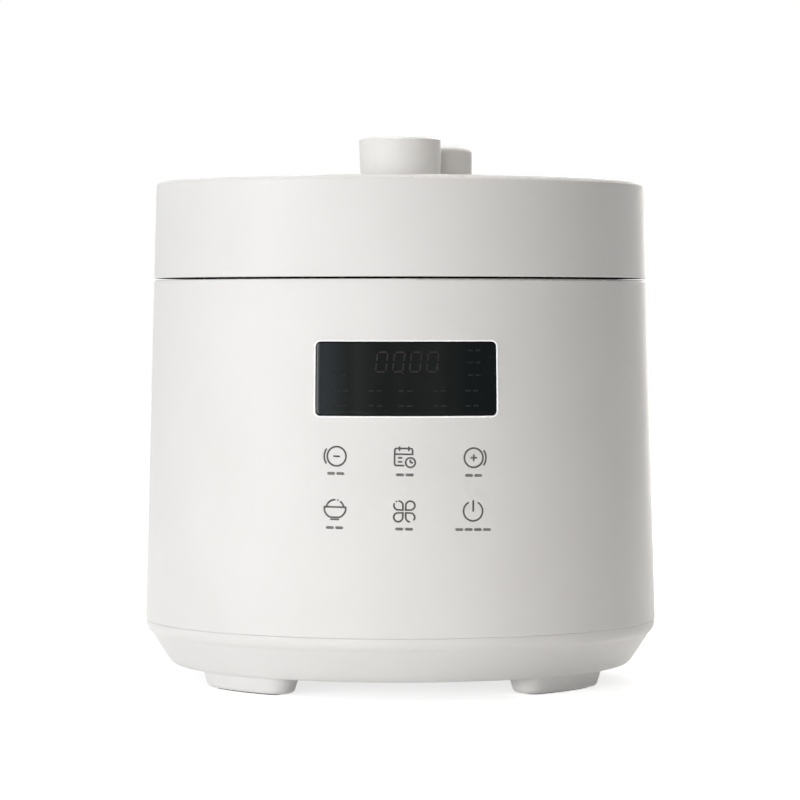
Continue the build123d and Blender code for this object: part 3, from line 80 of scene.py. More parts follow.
def on_shell(u, z, lift=0.0):
    """Point on the shell: u runs round it from the front to the right, z is the height."""
    r = side_r(z) + lift
    angle = u / PANEL_R
    return Vector((r * math.sin(angle), -r * math.cos(angle), z))


# ------------------------------------------------------------------ mesh helpers
def mesh_object(name, bm, smooth=True):
    """Turns a bmesh into an object in the scene."""
    bmesh.ops.recalc_face_normals(bm, faces=bm.faces)
    mesh = bpy.data.meshes.new(name)
    bm.to_mesh(mesh)
    bm.free()
    for polygon in mesh.polygons:
        polygon.use_smooth = smooth
    piece = bpy.data.objects.new(name, mesh)
    bpy.context.scene.collection.objects.link(piece)
    return piece


def dress(piece, body, material):
    """Gives a piece its material and its body."""
    piece.data.materials.append(material)
    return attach(piece, body)


def bridge_loops(bm, loops, closed=True):
    """Quads between loops of vertices that have the same count."""
    for a, b in zip(loops, loops[1:]):
        count = len(a)
        for i in range(count if closed else count - 1):
            j = (i + 1) % count
            bm.faces.new((a[i], a[j], b[j], b[i]))


def between(a, b, pieces):
    """Evenly spaced points from a towards b, with a and without b."""
    return [(a[0] + (b[0] - a[0]) * k / pieces, a[1] + (b[1] - a[1]) * k / pieces) for k in range(pieces)]


# ------------------------------------------------------------------ materials
DRIFT_SPAN = (0.3, 0.7)      # part of the noise's range that runs from the dark shade to the light one


def new_material(name):
    material = bpy.data.materials.new(name)
    material.use_nodes = True
    nodes = material.node_tree.nodes
    return material, nodes, material.node_tree.links, nodes["Principled BSDF"]


def noise(nodes, links, scale, detail=3.0, stretch=(1.0, 1.0, 1.0)):
    """Noise in object space, stretched along an axis if asked."""
    texture = nodes.new("ShaderNodeTexNoise")
    texture.inputs["Scale"].default_value = scale
    texture.inputs["Detail"].default_value = detail
    coords = nodes.new("ShaderNodeTexCoord")
    mapping = nodes.new("ShaderNodeMapping")
    mapping.inputs["Scale"].default_value = stretch
    links.new(coords.outputs["Object"], mapping.inputs["Vector"])
    links.new(mapping.outputs["Vector"], texture.inputs["Vector"])
    return texture.outputs["Fac"]


def vary_colour(nodes, links, bsdf, fac, dark, light):
    """Base colour that drifts between two near shades."""
    ramp = nodes.new("ShaderNodeValToRGB")
    for element, place, shade in zip(ramp.color_ramp.elements, DRIFT_SPAN, (dark, light)):
        element.position = place
        element.color = (*shade, 1)
    links.new(fac, ramp.inputs["Fac"])
    links.new(ramp.outputs["Color"], bsdf.inputs["Base Color"])


def vary_roughness(nodes, links, bsdf, fac, low, high):
    span = nodes.new("ShaderNodeMapRange")
    span.inputs["To Min"].default_value = low
    span.inputs["To Max"].default_value = high
    links.new(fac, span.inputs["Value"])
    links.new(span.outputs["Result"], bsdf.inputs["Roughness"])


def add_bump(nodes, links, bsdf, fac, depth):
    bump = nodes.new("ShaderNodeBump")
    bump.inputs["Distance"].default_value = depth
    links.new(fac, bump.inputs["Height"])
    links.new(bump.outputs["Normal"], bsdf.inputs["Normal"])


def plastic(name, dark, light, rough, grain=1500.0, depth=0.012 * MM):
    """Moulded plastic or rubber: a faint drift of colour, a fine grain, uneven gloss."""
    material, nodes, links, bsdf = new_material(name)
    vary_colour(nodes, links, bsdf, noise(nodes, links, scale=22.0), dark, light)
    vary_roughness(nodes, links, bsdf, noise(nodes, links, scale=60.0), *rough)
    add_bump(nodes, links, bsdf, noise(nodes, links, scale=grain, detail=2.0), depth)
    return material


def metal(name, dark, light, rough, stretch, depth=0.01 * MM):
    """Metal with fine lines from brushing, turning or drawing."""
    material, nodes, links, bsdf = new_material(name)
    bsdf.inputs["Metallic"].default_value = 1.0
    lines = noise(nodes, links, scale=240.0, detail=4.0, stretch=stretch)
    vary_colour(nodes, links, bsdf, noise(nodes, links, scale=18.0), dark, light)
    vary_roughness(nodes, links, bsdf, lines, *rough)
    add_bump(nodes, links, bsdf, lines, depth)
    return material


def smoked_glass(name, columns, gloss):
    """Near-black display panel, faintly wavy; columns are (share of its width, colour) painted across it
    as reflection and shade.
    """
    material, nodes, links, bsdf = new_material(name)
    coords = nodes.new("ShaderNodeTexCoord")
    split = nodes.new("ShaderNodeSeparateXYZ")
    along = nodes.new("ShaderNodeMapRange")
    along.inputs["From Min"].default_value = WINDOW_LOW.x
    along.inputs["From Max"].default_value = WINDOW_HIGH.x
    ramp = nodes.new("ShaderNodeValToRGB")
    ramp.color_ramp.elements[0].color = (*columns[0][1], 1)
    ramp.color_ramp.elements[1].color = (*columns[-1][1], 1)
    for place, colour in columns[1:-1]:
        ramp.color_ramp.elements.new(place).color = (*colour, 1)
    links.new(coords.outputs["Object"], split.inputs["Vector"])
    links.new(split.outputs["X"], along.inputs["Value"])
    links.new(along.outputs["Result"], ramp.inputs["Fac"])
    links.new(ramp.outputs["Color"], bsdf.inputs["Base Color"])
    bsdf.inputs["Specular IOR Level"].default_value = gloss
    vary_roughness(nodes, links, bsdf, noise(nodes, links, scale=14.0), 0.07, 0.12)
    add_bump(nodes, links, bsdf, noise(nodes, links, scale=35.0, detail=1.0), 0.01 * MM)
    return material


def circuit_board(name):
    """Green solder mask with a pattern of tracks."""
    material, nodes, links, bsdf = new_material(name)
    cells = nodes.new("ShaderNodeTexVoronoi")
    cells.feature = "DISTANCE_TO_EDGE"
    cells.inputs["Scale"].default_value = 240.0
    coords = nodes.new("ShaderNodeTexCoord")
    links.new(coords.outputs["Object"], cells.inputs["Vector"])
    vary_colour(nodes, links, bsdf, cells.outputs["Distance"], (0.10, 0.22, 0.08), (0.018, 0.09, 0.04))
    vary_roughness(nodes, links, bsdf, noise(nodes, links, scale=50.0), 0.3, 0.45)
    return material


def grey(level):
    """Neutral colour."""
    return (level,) * 3


# shades of painted reflection and painted shade on the display glass
SLATE = (0.026, 0.031, 0.034)
ASH = (0.019, 0.020, 0.020)
DUSK = (0.014, 0.016, 0.016)
SOFT = (0.012, 0.014, 0.013)
DARK = (0.009, 0.0115, 0.011)
DEEP = (0.0047, 0.008, 0.009)
PAINTED_REFLECTION_COLUMNS = (            # painted reflection and painted shade: upright lighter bands across the display, darker from left to right
    (0.0, SLATE), (0.06, SLATE), (0.18, DUSK), (0.23, ASH), (0.29, DUSK),
    (0.35, DARK), (0.41, DARK), (0.46, SOFT), (0.51, DARK), (0.57, SOFT),
    (0.68, DUSK), (0.73, DARK), (0.79, DARK), (0.84, DEEP), (1.0, DEEP),
)
# painted shade along the panel's outermost edge
RIM_SHADE_COLUMNS = ((0.0, (0.006, 0.006, 0.005)), (1.0, grey(0.004)))
GLINT_COLUMNS = ((0.0, (0.006, 0.008, 0.009)), (1.0, (0.003, 0.004, 0.005)))
GLASS_GLOSS = 0.06
GLINT_GLOSS = 0.8
UNLIT_GLOSS = 0.1

WHITE = ((0.845, 0.835, 0.82), (0.87, 0.862, 0.848))
PLASTICS = {                 # dark shade, light shade, roughness, then grain and its depth if they differ
    "shell_plastic": (*WHITE, (0.36, 0.44)),
    "knob_plastic": (*WHITE, (0.30, 0.38), 1200.0),
    "grey_plastic": (grey(0.05), grey(0.066), (0.45, 0.6), 1800.0, 0.03 * MM),
    "black_plastic": (grey(0.018), grey(0.03), (0.4, 0.55), 1800.0, 0.03 * MM),
    "yellow_plastic": ((0.52, 0.30, 0.02), (0.60, 0.36, 0.03), (0.35, 0.45)),
    "foot_rubber": (grey(0.10), grey(0.15), (0.7, 0.85), 2500.0, 0.05 * MM),
    "silicone": ((0.60, 0.59, 0.57), (0.68, 0.67, 0.65), (0.5, 0.62), 900.0, 0.02 * MM),
    "nonstick": (grey(0.022), grey(0.034), (0.38, 0.5), 3000.0, 0.04 * MM),
}
METALS = {                   # dark shade, light shade, roughness, stretch of the lines, then their depth
    "steel": ((0.50, 0.50, 0.49), (0.62, 0.62, 0.61), (0.18, 0.34), (1.0, 1.0, 14.0)),
    "screw_steel": ((0.46, 0.46, 0.47), (0.58, 0.58, 0.60), (0.15, 0.3), (6.0, 6.0, 1.0)),
    "cast_aluminium": (grey(0.62), grey(0.74), (0.32, 0.5), (1.0, 1.0, 1.0), 0.04 * MM),
    "brass_pins": ((0.62, 0.52, 0.34), (0.74, 0.62, 0.42), (0.15, 0.28), (1.0, 9.0, 1.0)),
}
PRINTS = {                   # dark shade, light shade, roughness, grain
    "print_grey": ((0.195, 0.19, 0.185), (0.22, 0.215, 0.21), (0.45, 0.55), 4000.0),
    "label_grey": ((0.34, 0.335, 0.33), (0.38, 0.375, 0.37), (0.45, 0.55), 4000.0),
    "unlit_segments": ((0.068, 0.057, 0.063), (0.078, 0.066, 0.072), (0.4, 0.5), 2000.0),
    "unlit_marks": ((0.037, 0.042, 0.039), (0.045, 0.050, 0.046), (0.4, 0.5), 2000.0),
}
PRINT_GRAIN_DEPTH = 0.002 * MM

MATERIALS = {name: plastic(name, *look) for name, look in PLASTICS.items()}
MATERIALS |= {name: metal(name, *look) for name, look in METALS.items()}
MATERIALS |= {name: plastic(name, *look, PRINT_GRAIN_DEPTH) for name, look in PRINTS.items()}
MATERIALS["circuit_board"] = circuit_board("circuit_board")
# the display glass's colour carries painted reflection bands and painted shade, lighter at its left
MATERIALS["smoked_glass"] = smoked_glass("smoked_glass", PAINTED_REFLECTION_COLUMNS, GLASS_GLOSS)
MATERIALS["glass_rim_shade"] = smoked_glass("glass_rim_shade", RIM_SHADE_COLUMNS, GLASS_GLOSS)
MATERIALS["glass_glint"] = smoked_glass("glass_glint", GLINT_COLUMNS, GLINT_GLOSS)
# painted highlight: the rim round the window is a white brighter than the shell
MATERIALS["bezel_painted_highlight"] = plastic("bezel_painted_highlight", (0.93, 0.93, 0.925), (0.95, 0.95, 0.945), (0.25, 0.3))


def set_input(name, socket, value):
    """Sets one plain input of a material's main shader."""
    MATERIALS[name].node_tree.nodes["Principled BSDF"].inputs[socket].default_value = value


set_input("bezel_painted_highlight", "Metallic", 0.85)
set_input("unlit_segments", "Specular IOR Level", UNLIT_GLOSS)
set_input("unlit_marks", "Specular IOR Level", UNLIT_GLOSS)

for entry in frame["record"]["subparts"]:
    node = frame["nodes"][entry["node"]]
    node.data.materials.clear()
    node.data.materials.append(MATERIALS[entry["material_slot"]])


# ------------------------------------------------------------------ display
GLASS_PROUD = 0.15 * MM
GLASS_BEVEL = 1.9 * MM       # width of the rounded border
GLASS_TILT = math.radians(22)
GLASS_RIM_SHADE_W = 0.45 * MM      # outermost edge, painted near black as shade where the panel meets the bezel
GLASS_DEPTH = 1.6 * MM
GLASS_STEP_U = 1.2 * MM      # longest face across the panel
GLASS_STEP_Z = 4.0 * MM      # and up it
EDGE_STEPS = 8               # faces across the border
WINDOW_CORNER = 2.2 * MM
WINDOW_HALF_W = PANEL_R * math.asin((WINDOW_HIGH.x - WINDOW_LOW.x) / 2 / PANEL_R)
WINDOW_HALF_H = (WINDOW_HIGH.z - WINDOW_LOW.z) / 2
CORNER_STEPS = 12            # pieces round each corner of the window's outline
SIDE_STEPS = 48              # and along each of its sides
BEZEL_SECTION = (            # out from the window's outline and up from the shell, in millimetres
    (0.04, -1.0), (0.04, -0.1), (0.1, 0.08), (0.22, 0.22), (0.38, 0.3),
    (0.55, 0.3), (0.72, 0.2), (0.84, 0.05), (0.88, -0.05),
)


def inside_distance(u, z):
    """Distance of a point in the window from its outline, inwards."""
    du = abs(u) - (WINDOW_HALF_W - WINDOW_CORNER)
    dz = abs(z) - (WINDOW_HALF_H - WINDOW_CORNER)
    return WINDOW_CORNER - math.hypot(max(du, 0), max(dz, 0)) - min(max(du, dz), 0)


def positions(half, fine, coarse):
    """Positions from -half to half: no further apart than coarse, and closer together near both ends."""
    turns = [math.pi / 2 * i / EDGE_STEPS for i in range(EDGE_STEPS + 1)]
    ends = [half - fine * (1 - math.cos(turn)) for turn in turns]
    inner = half - fine
    steps = max(2, math.ceil(2 * inner / coarse))
    middle = [-inner + 2 * inner * i / steps for i in range(1, steps)]
    return [-e for e in ends] + middle + ends[::-1]


def glass_lift(u, z):
    """How far the panel's face stands off the shell: its border rolls away towards the outline."""
    bend_r = GLASS_BEVEL / math.sin(GLASS_TILT)
    out = GLASS_BEVEL - min(max(inside_distance(u, z), 0), GLASS_BEVEL)
    return GLASS_PROUD - (bend_r - math.sqrt(bend_r ** 2 - out ** 2))


def glass_mesh():
    """Closed mesh of the curved display panel, face and back."""
    bm = bmesh.new()
    front, back = [], []
    for u in positions(WINDOW_HALF_W, WINDOW_CORNER, GLASS_STEP_U):
        over = max(abs(u) - (WINDOW_HALF_W - WINDOW_CORNER), 0)
        top = WINDOW_HALF_H - WINDOW_CORNER + math.sqrt(max(WINDOW_CORNER ** 2 - over ** 2, 0))
        front_column, back_column = [], []
        for place in positions(WINDOW_HALF_H, GLASS_BEVEL, GLASS_STEP_Z):
            z = place * top / WINDOW_HALF_H
            front_column.append(bm.verts.new(on_shell(u, PANEL_Z + z, glass_lift(u, z))))
            back_column.append(bm.verts.new(on_shell(u, PANEL_Z + z, -GLASS_DEPTH)))
        front.append(front_column)
        back.append(back_column)
    bridge_loops(bm, front, closed=False)
    bridge_loops(bm, back, closed=False)
    for a, b in ((front[0], back[0]), (front[-1], back[-1])):
        bridge_loops(bm, [a, b], closed=False)
    for k in (0, -1):
        bridge_loops(bm, [[c[k] for c in front], [c[k] for c in back]], closed=False)
    return bm


def make_glass():
    """Display panel with its outermost edge painted near black as shade, and a glossier border at its
    left.
    """
    glass = mesh_object("display_glass", glass_mesh())
    dress(glass, "base", MATERIALS["smoked_glass"])
    glass.data.materials.append(MATERIALS["glass_rim_shade"])
    glass.data.materials.append(MATERIALS["glass_glint"])
    for polygon in glass.data.polygons:
        u = math.atan2(polygon.center.x, -polygon.center.y) * PANEL_R
        if inside_distance(u, polygon.center.z - PANEL_Z) < GLASS_RIM_SHADE_W:
            polygon.material_index = glass.data.materials.find("glass_rim_shade")
        elif u < GLASS_BEVEL - WINDOW_HALF_W:
            polygon.material_index = glass.data.materials.find("glass_glint")
    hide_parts("display_window")


def window_loop(grow, lift):
    """Points round the window's outline, moved out by grow and standing off the shell by lift."""
    corner = WINDOW_CORNER + grow
    flat = []
    for su, sz, start in ((1, 1, 0), (-1, 1, 90), (-1, -1, 180), (1, -1, 270)):
        for i in range(CORNER_STEPS + 1):
            a = math.radians(start + 90 * i / CORNER_STEPS)
            u = su * (WINDOW_HALF_W - WINDOW_CORNER) + corner * math.cos(a)
            z = sz * (WINDOW_HALF_H - WINDOW_CORNER) + corner * math.sin(a)
            flat.append((u, z))
    points = []
    for i, here in enumerate(flat):
        at_side = (i + 1) % (CORNER_STEPS + 1) == 0
        points += between(here, flat[(i + 1) % len(flat)], SIDE_STEPS if at_side else 1)
    return [on_shell(u, PANEL_Z + z, lift) for u, z in points]


def make_bezel():
    """Thin raised rim moulded round the display panel, whiter than the shell as a painted highlight."""
    bm = bmesh.new()
    loops = [[bm.verts.new(p) for p in window_loop(out * MM, lift * MM)] for out, lift in BEZEL_SECTION]
    bridge_loops(bm, loops + [loops[0]])
    dress(mesh_object("display_bezel", bm), "base", MATERIALS["bezel_painted_highlight"])


make_glass()
make_bezel()


# ------------------------------------------------------------------ strokes and dots, in millimetres
PRINT_LAYER = 0.004 * MM
PRINT_DEPTH = 0.02 * MM
SAME_POINT = 1e-6
STROKE_STEP = 1.0            # longest step along a stroke, so that it follows the shell's curve
ARC_STEPS = 40
BEND_STEPS = 8
CAP_STEPS = 8
DOT_SIDES = 24
MITRE_LIMIT = 0.5


def arc(cu, cz, r, start, end, steps=ARC_STEPS):
    """Points on an arc, in millimetres and degrees."""
    angles = [math.radians(start + (end - start) * i / steps) for i in range(steps + 1)]
    return [(cu + r * math.cos(a), cz + r * math.sin(a)) for a in angles]


def rounded(points, radius):
    """Polyline whose inner corners are rounded."""
    out = [points[0]]
    for before, corner, after in zip(points, points[1:], points[2:]):
        corner = Vector(corner)
        into = (Vector(before) - corner).normalized() * radius
        away = (Vector(after) - corner).normalized() * radius
        for i in range(BEND_STEPS + 1):
            t = i / BEND_STEPS
            out.append(tuple(corner + into * (1 - t) ** 2 + away * t ** 2))
    return out + [points[-1]]


def in_steps(points, longest):
    """The same polyline with no step longer than a limit."""
    out = []
    for a, b in zip(points, points[1:]):
        out += between(a, b, max(1, math.ceil(math.dist(a, b) / longest)))
    return out + [points[-1]]


def round_end(bm, end, inner, pair, width, place):
    """Half-round face at the end of a stroke, between its last two vertices."""
    away = (end - inner).normalized()
    base = math.atan2(away.y, away.x)
    rim = [pair[0]]
    for i in range(1, CAP_STEPS):
        a = base - math.pi / 2 + math.pi * i / CAP_STEPS
        rim.append(bm.verts.new(place(end + Vector((math.cos(a), math.sin(a))) * width / 2)))
    rim.append(pair[1])
    bm.faces.new(rim)


def stroke(bm, points, width, place):
    """Flat stroke with round ends and mitred bends; place turns (u, z) in millimetres into a point."""
    closed = math.dist(points[0], points[-1]) < SAME_POINT
    line = [Vector(p) for p in in_steps(points, STROKE_STEP)]
    if closed:
        line = line[:-1]
    sides = []
    for i, p in enumerate(line):
        before = line[i - 1] if closed or i else p
        after = line[(i + 1) % len(line)] if closed or i + 1 < len(line) else p
        first = (p - before).normalized() if before != p else (after - p).normalized()
        last = (after - p).normalized() if after != p else first
        normal = Vector((-(first + last).y, (first + last).x)).normalized()
        reach = width / 2 / max(normal.dot(Vector((-first.y, first.x))), MITRE_LIMIT)
        sides.append((bm.verts.new(place(p + normal * reach)), bm.verts.new(place(p - normal * reach))))
    bridge_loops(bm, [[s[0] for s in sides], [s[1] for s in sides]], closed)
    if not closed:
        round_end(bm, line[0], line[1], sides[0], width, place)
        round_end(bm, line[-1], line[-2], sides[-1][::-1], width, place)


def dot(bm, centre, r, place):
    """Flat round dot."""
    rim = arc(*centre, r, 0, 360, DOT_SIDES)[:-1]
    bm.faces.new([bm.verts.new(place(Vector(p))) for p in rim])


def print_piece(name, u, z, strokes, dots, width, material, base_lift, turn=0.0):
    """Prints strokes and dots as one piece centred on (u, z); each stroke is a hair above the last."""
    bm = bmesh.new()
    lift = base_lift
    cos, sin = math.cos(turn), math.sin(turn)

    def place(p):
        return on_shell(u + (p.x * cos - p.y * sin) * MM, z + (p.x * sin + p.y * cos) * MM, lift)

    for points in strokes:
        stroke(bm, points, width, place)
        lift += PRINT_LAYER
    for centre in dots:
        dot(bm, centre, width / 2, place)
    bmesh.ops.solidify(bm, geom=bm.faces[:], thickness=PRINT_DEPTH)
    dress(mesh_object(name, bm, smooth=False), "base", MATERIALS[material])


# ------------------------------------------------------------------ printed symbols
SIGN_REACH = 1.2             # half the length of the bars in the minus and plus signs
RING = arc(0, 0, 4.25, 0, 360)
MINUS = [(-SIGN_REACH, 0), (SIGN_REACH, 0)]
UPRIGHT = [(0, -SIGN_REACH), (0, SIGN_REACH)]
SIDE_ARC_R = 5.62            # short arc beside a ring
SIDE_ARC_HALF = 33           # degrees above and below its middle
LEAF_AT = 2.6                # centre of a leaf's round end, across and up
LEAF_R = 1.95
LEAF_TIP = 0.6


def less_time():
    """Ring with a minus sign, and a short arc at its left."""
    return [RING, MINUS, arc(0, 0, SIDE_ARC_R, 180 - SIDE_ARC_HALF, 180 + SIDE_ARC_HALF)], []


def more_time():
    """Ring with a plus sign, and a short arc at its right."""
    return [RING, MINUS, UPRIGHT, arc(0, 0, SIDE_ARC_R, -SIDE_ARC_HALF, SIDE_ARC_HALF)], []


def timer():
    """Calendar page with two tabs and two entries, and a clock at its lower right corner."""
    left, right, low, high, rule = -4.55, 3.25, -3.73, 3.78, 1.25
    page = rounded([(-0.6, low), (left, low), (left, high), (right, high), (right, rule)], 0.9)
    tabs = [[(x, 4.4), (x, 2.95)] for x in (-2.5, 1.6)]
    entries = [[(-2.8, y), (-1.5, y)] for y in (-0.33, -2.11)]
    clock = [arc(2.38, -2.37, 2.1, 0, 360), [(2.25, -1.4), (2.4, -2.25), (3.25, -2.45)]]
    return [page, [(left, rule), (right, rule)], *tabs, *entries, *clock], []


def texture():
    """Bowl on a foot, under a dome of two arcs with a dot between them."""
    rim, shoulder, floor = (4.83, 1.32), (4.75, -0.9), (2.65, -3.2)
    right_side = [floor, shoulder, rim]
    left_side = [(-x, y) for x, y in right_side[::-1]]
    foot = [(-1.7, -4.12), (1.7, -4.12)]
    dome_r, dome_z, dot_at = 4.0, 0.535, math.radians(72)
    dome = [arc(0, dome_z, dome_r, 163.6, 92), arc(0, dome_z, dome_r, 52, 16.4)]
    strokes = [[left_side[0], rim], rounded(left_side + right_side, 1.2), foot, *dome]
    return strokes, [(dome_r * math.cos(dot_at), dome_z + dome_r * math.sin(dot_at))]


def leaf(su, sz, arcs):
    """Strokes of one leaf: a square corner towards the centre and a round outer end."""
    strokes = []
    for start, end in arcs:
        curve = arc(LEAF_AT, LEAF_AT, LEAF_R, start, end)
        if start == -90:
            curve = [(LEAF_TIP, LEAF_TIP)] + curve
        if end == 180:
            curve = curve + [(LEAF_TIP, LEAF_TIP)]
        strokes.append([(su * x, sz * y) for x, y in curve])
    return strokes


def menu():
    """Four leaves; two of them have a gap in their outline, and one gap holds a dot."""
    strokes = leaf(1, 1, [(-90, 180)]) + leaf(-1, 1, [(-90, 20), (98, 180)])
    strokes += leaf(-1, -1, [(-90, 180)]) + leaf(1, -1, [(-90, 31), (100, 180)])
    dot_at = math.radians(62)
    return strokes, [(-LEAF_AT - LEAF_R * math.cos(dot_at), LEAF_AT + LEAF_R * math.sin(dot_at))]


def power():
    """Open ring with an upright bar in its gap."""
    return [arc(0, 0, 4.32, 122, 418), [(0, 4.5), (0, 0.1)]], []


ICONS = {                    # two rows of three, from the upper left
    "less_time": less_time(), "timer": timer(), "more_time": more_time(),
    "texture": texture(), "menu": menu(), "power": power(),
}
ICON_NUDGE = {"less_time": (0.25, -0.2), "power": (-0.1, 0.35)}      # millimetres off the grid
ICON_LIFT = 0.03 * MM
ICON_STROKE = 0.76
ICON_PITCH = 30.5 * MM
ICON_ROW_DROP = 23.9 * MM
ICON_MIDDLE = (-0.8 * MM, 97.3 * MM)
ICON_TURN = math.radians(-0.85)      # the print sits a touch askew on the shell
LABEL_DROP = 7.8             # plain bars under each symbol, in place of words
LABEL_STROKE = 1.25
LABEL_STEP = 4.2
LABEL_BAR = 2.4


def icon_place(index):
    """Centre of a symbol on the shell, on a grid that is turned a little."""
    across = (index % 3 - 1) * ICON_PITCH
    up = (0.5 - index // 3) * ICON_ROW_DROP
    u = ICON_MIDDLE[0] + across * math.cos(ICON_TURN) - up * math.sin(ICON_TURN)
    z = ICON_MIDDLE[1] + across * math.sin(ICON_TURN) + up * math.cos(ICON_TURN)
    return u, z


def print_on_shell(name, index, strokes, dots, width, material):
    """Prints one piece in a symbol's place."""
    u, z = icon_place(index)
    print_piece(name, u, z, strokes, dots, width, material, ICON_LIFT, ICON_TURN)


for index, (icon, (strokes, dots)) in enumerate(ICONS.items()):
    nudge = ICON_NUDGE.get(icon, (0, 0))
    strokes = [[(x + nudge[0], y + nudge[1]) for x, y in line] for line in strokes]
    print_on_shell(f"symbol_{icon}", index, strokes, dots, ICON_STROKE, "print_grey")
    bars = 4 if icon == "power" else 2
    centres = [(k - (bars - 1) / 2) * LABEL_STEP for k in range(bars)]
    lines = [[(c - LABEL_BAR / 2, -LABEL_DROP), (c + LABEL_BAR / 2, -LABEL_DROP)] for c in centres]
    print_on_shell(f"label_{icon}", index, lines, [], LABEL_STROKE, "label_grey")


# ------------------------------------------------------------------ unlit display segments
DIGIT_COUNT = 4
DIGIT_W = 4.5
DIGIT_H = 8.6
DIGIT_PITCH = 7.5
DIGIT_SLANT = math.tan(math.radians(6.6))
DIGIT_STROKE = 0.72
DIGIT_GAP = 0.8
DIGIT_Z = 151.1 * MM
DIGIT_U = 0.35 * MM
POINT_U = -2.1               # faint dot below the second digit
POINT_DROP = 0.6
MARK_LIFT = GLASS_PROUD + 0.03 * MM
MARK_STROKE = 0.9
MARK_NEAR = 0.9              # a mark is two dashes, each from near to far on its side of the centre
MARK_FAR = 2.6
MARK_COLUMNS = (-28.8, -13.7, -0.4, 14.6, 29.2)
MARK_ROWS = (138.4, 131.8)
SIDE_MARKS = [(30.3, 156.2), (30.3, 150.9), (30.3, 145.3), (-29.8, 145.4)]


def digit_strokes(centre):
    """The six outer segments of one unlit digit."""
    w, h, gap = DIGIT_W / 2, DIGIT_H / 2, DIGIT_GAP
    level = [((-w + gap, y), (w - gap, y)) for y in (h, -h)]
    upright = [((x, side * gap), (x, side * (h - gap))) for x in (-w, w) for side in (1, -1)]
    return [[(centre + x + y * DIGIT_SLANT, y) for x, y in segment] for segment in level + upright]


def print_on_glass(name, u, z, strokes, dots, width, material):
    """Prints one piece on the display panel."""
    print_piece(name, u, z, strokes, dots, width, material, MARK_LIFT)


digits = []
for k in range(DIGIT_COUNT):
    digits += digit_strokes((k - (DIGIT_COUNT - 1) / 2) * DIGIT_PITCH)
point = (POINT_U, -DIGIT_H / 2 - POINT_DROP)
print_on_glass("digits_unlit", DIGIT_U, DIGIT_Z, digits, [point], DIGIT_STROKE, "unlit_segments")

dashes = []
for u, z in [(u, z) for z in MARK_ROWS for u in MARK_COLUMNS] + SIDE_MARKS:
    dashes += [[(u - MARK_FAR, z), (u - MARK_NEAR, z)], [(u + MARK_NEAR, z), (u + MARK_FAR, z)]]
print_on_glass("marks_unlit", 0.0, 0.0, dashes, [], MARK_STROKE, "unlit_marks")


# ------------------------------------------------------------------ springs
SPRING_WIRE = 0.8 * MM
SPRING_TURNS = 5             # live turns, between one closed turn at each end
SPRING_STEPS = 32            # points to each turn
SPRING_SIDES = 10            # points round the wire


def spring_mesh(x, y, low, height, coil_r):
    """Coil round an upright axis, with a closed turn at each end."""
    wire_r = SPRING_WIRE / 2
    pitch = (height - 3 * SPRING_WIRE) / SPRING_TURNS
    bm = bmesh.new()
    loops = []
    for k in range(SPRING_STEPS * (SPRING_TURNS + 2) + 1):
        turn = k / SPRING_STEPS
        live = min(max(turn - 1, 0), SPRING_TURNS)
        middle = low + wire_r + (turn - live) * SPRING_WIRE + live * pitch
        a = math.tau * turn
        loop = []
        for i in range(SPRING_SIDES):
            b = math.tau * i / SPRING_SIDES
            r = coil_r + wire_r * math.cos(b)
            z = middle + wire_r * math.sin(b)
            loop.append(bm.verts.new((x + r * math.cos(a), y + r * math.sin(a), z)))
        loops.append(loop)
    bridge_loops(bm, loops)
    bm.faces.new(loops[0])
    bm.faces.new(loops[-1])
    return bm


def make_spring(node, body):
    """Compression spring in a node's place, from the node's foot up; the node itself is hidden."""
    low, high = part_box(node)
    x, y = (low.x + high.x) / 2, (low.y + high.y) / 2
    height = high.z - low.z
    bm = spring_mesh(x, y, low.z, height, (high.x - low.x - SPRING_WIRE) / 2)
    spring = dress(mesh_object(f"{node}_coil", bm), body, MATERIALS["screw_steel"])
    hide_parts(node)
    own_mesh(spring)


make_spring("button_spring", "lid")
make_spring("sensor_spring", "base")


# ------------------------------------------------------------------ camera, lamps and stage
CAMERA_DISTANCE = 1.715      # from the cooker's axis
CAMERA_HEIGHT = 0.174
CAMERA_AZIMUTH = math.radians(-1.3)
CAMERA_PITCH = math.radians(1.42)
LENS = 163.35
SENSOR_W = 36.0
SHIFT_X = -0.0005
MIDDLE = Vector((0, 0, 0.12))        # what the softboxes aim at
COOL_LIGHT = (0.88, 0.94, 1.0)
SOFT_LIGHT = (1.0, 0.985, 0.975)
WARM_LIGHT = (1.0, 0.96, 0.90)
ROOM_LIGHT = 0.115           # strength at which the world lights the object
FLOOR_R = 6.0
FLOOR_SIDES = 64
FLOOR_GREY = 0.94
NEAR_R = 0.3                 # the floor's own glow, as the camera sees it, grows from here
FAR_R = 1.1                  # to here, where it is full white
NEAR_GLOW = 0.70
FAR_GLOW = 1.0


def make_camera():
    data = bpy.data.cameras.new("camera")
    data.lens = LENS
    data.shift_x = SHIFT_X
    data.sensor_width = SENSOR_W
    data.clip_start = 0.05
    data.clip_end = 50.0
    across, along = math.sin(CAMERA_AZIMUTH), math.cos(CAMERA_AZIMUTH)
    camera = bpy.data.objects.new("camera", data)
    camera.location = (across * CAMERA_DISTANCE, -along * CAMERA_DISTANCE, CAMERA_HEIGHT)
    aim = Vector((-across, along, -math.tan(CAMERA_PITCH)))
    camera.rotation_euler = aim.to_track_quat("-Z", "Y").to_euler()
    bpy.context.scene.collection.objects.link(camera)
    bpy.context.scene.camera = camera


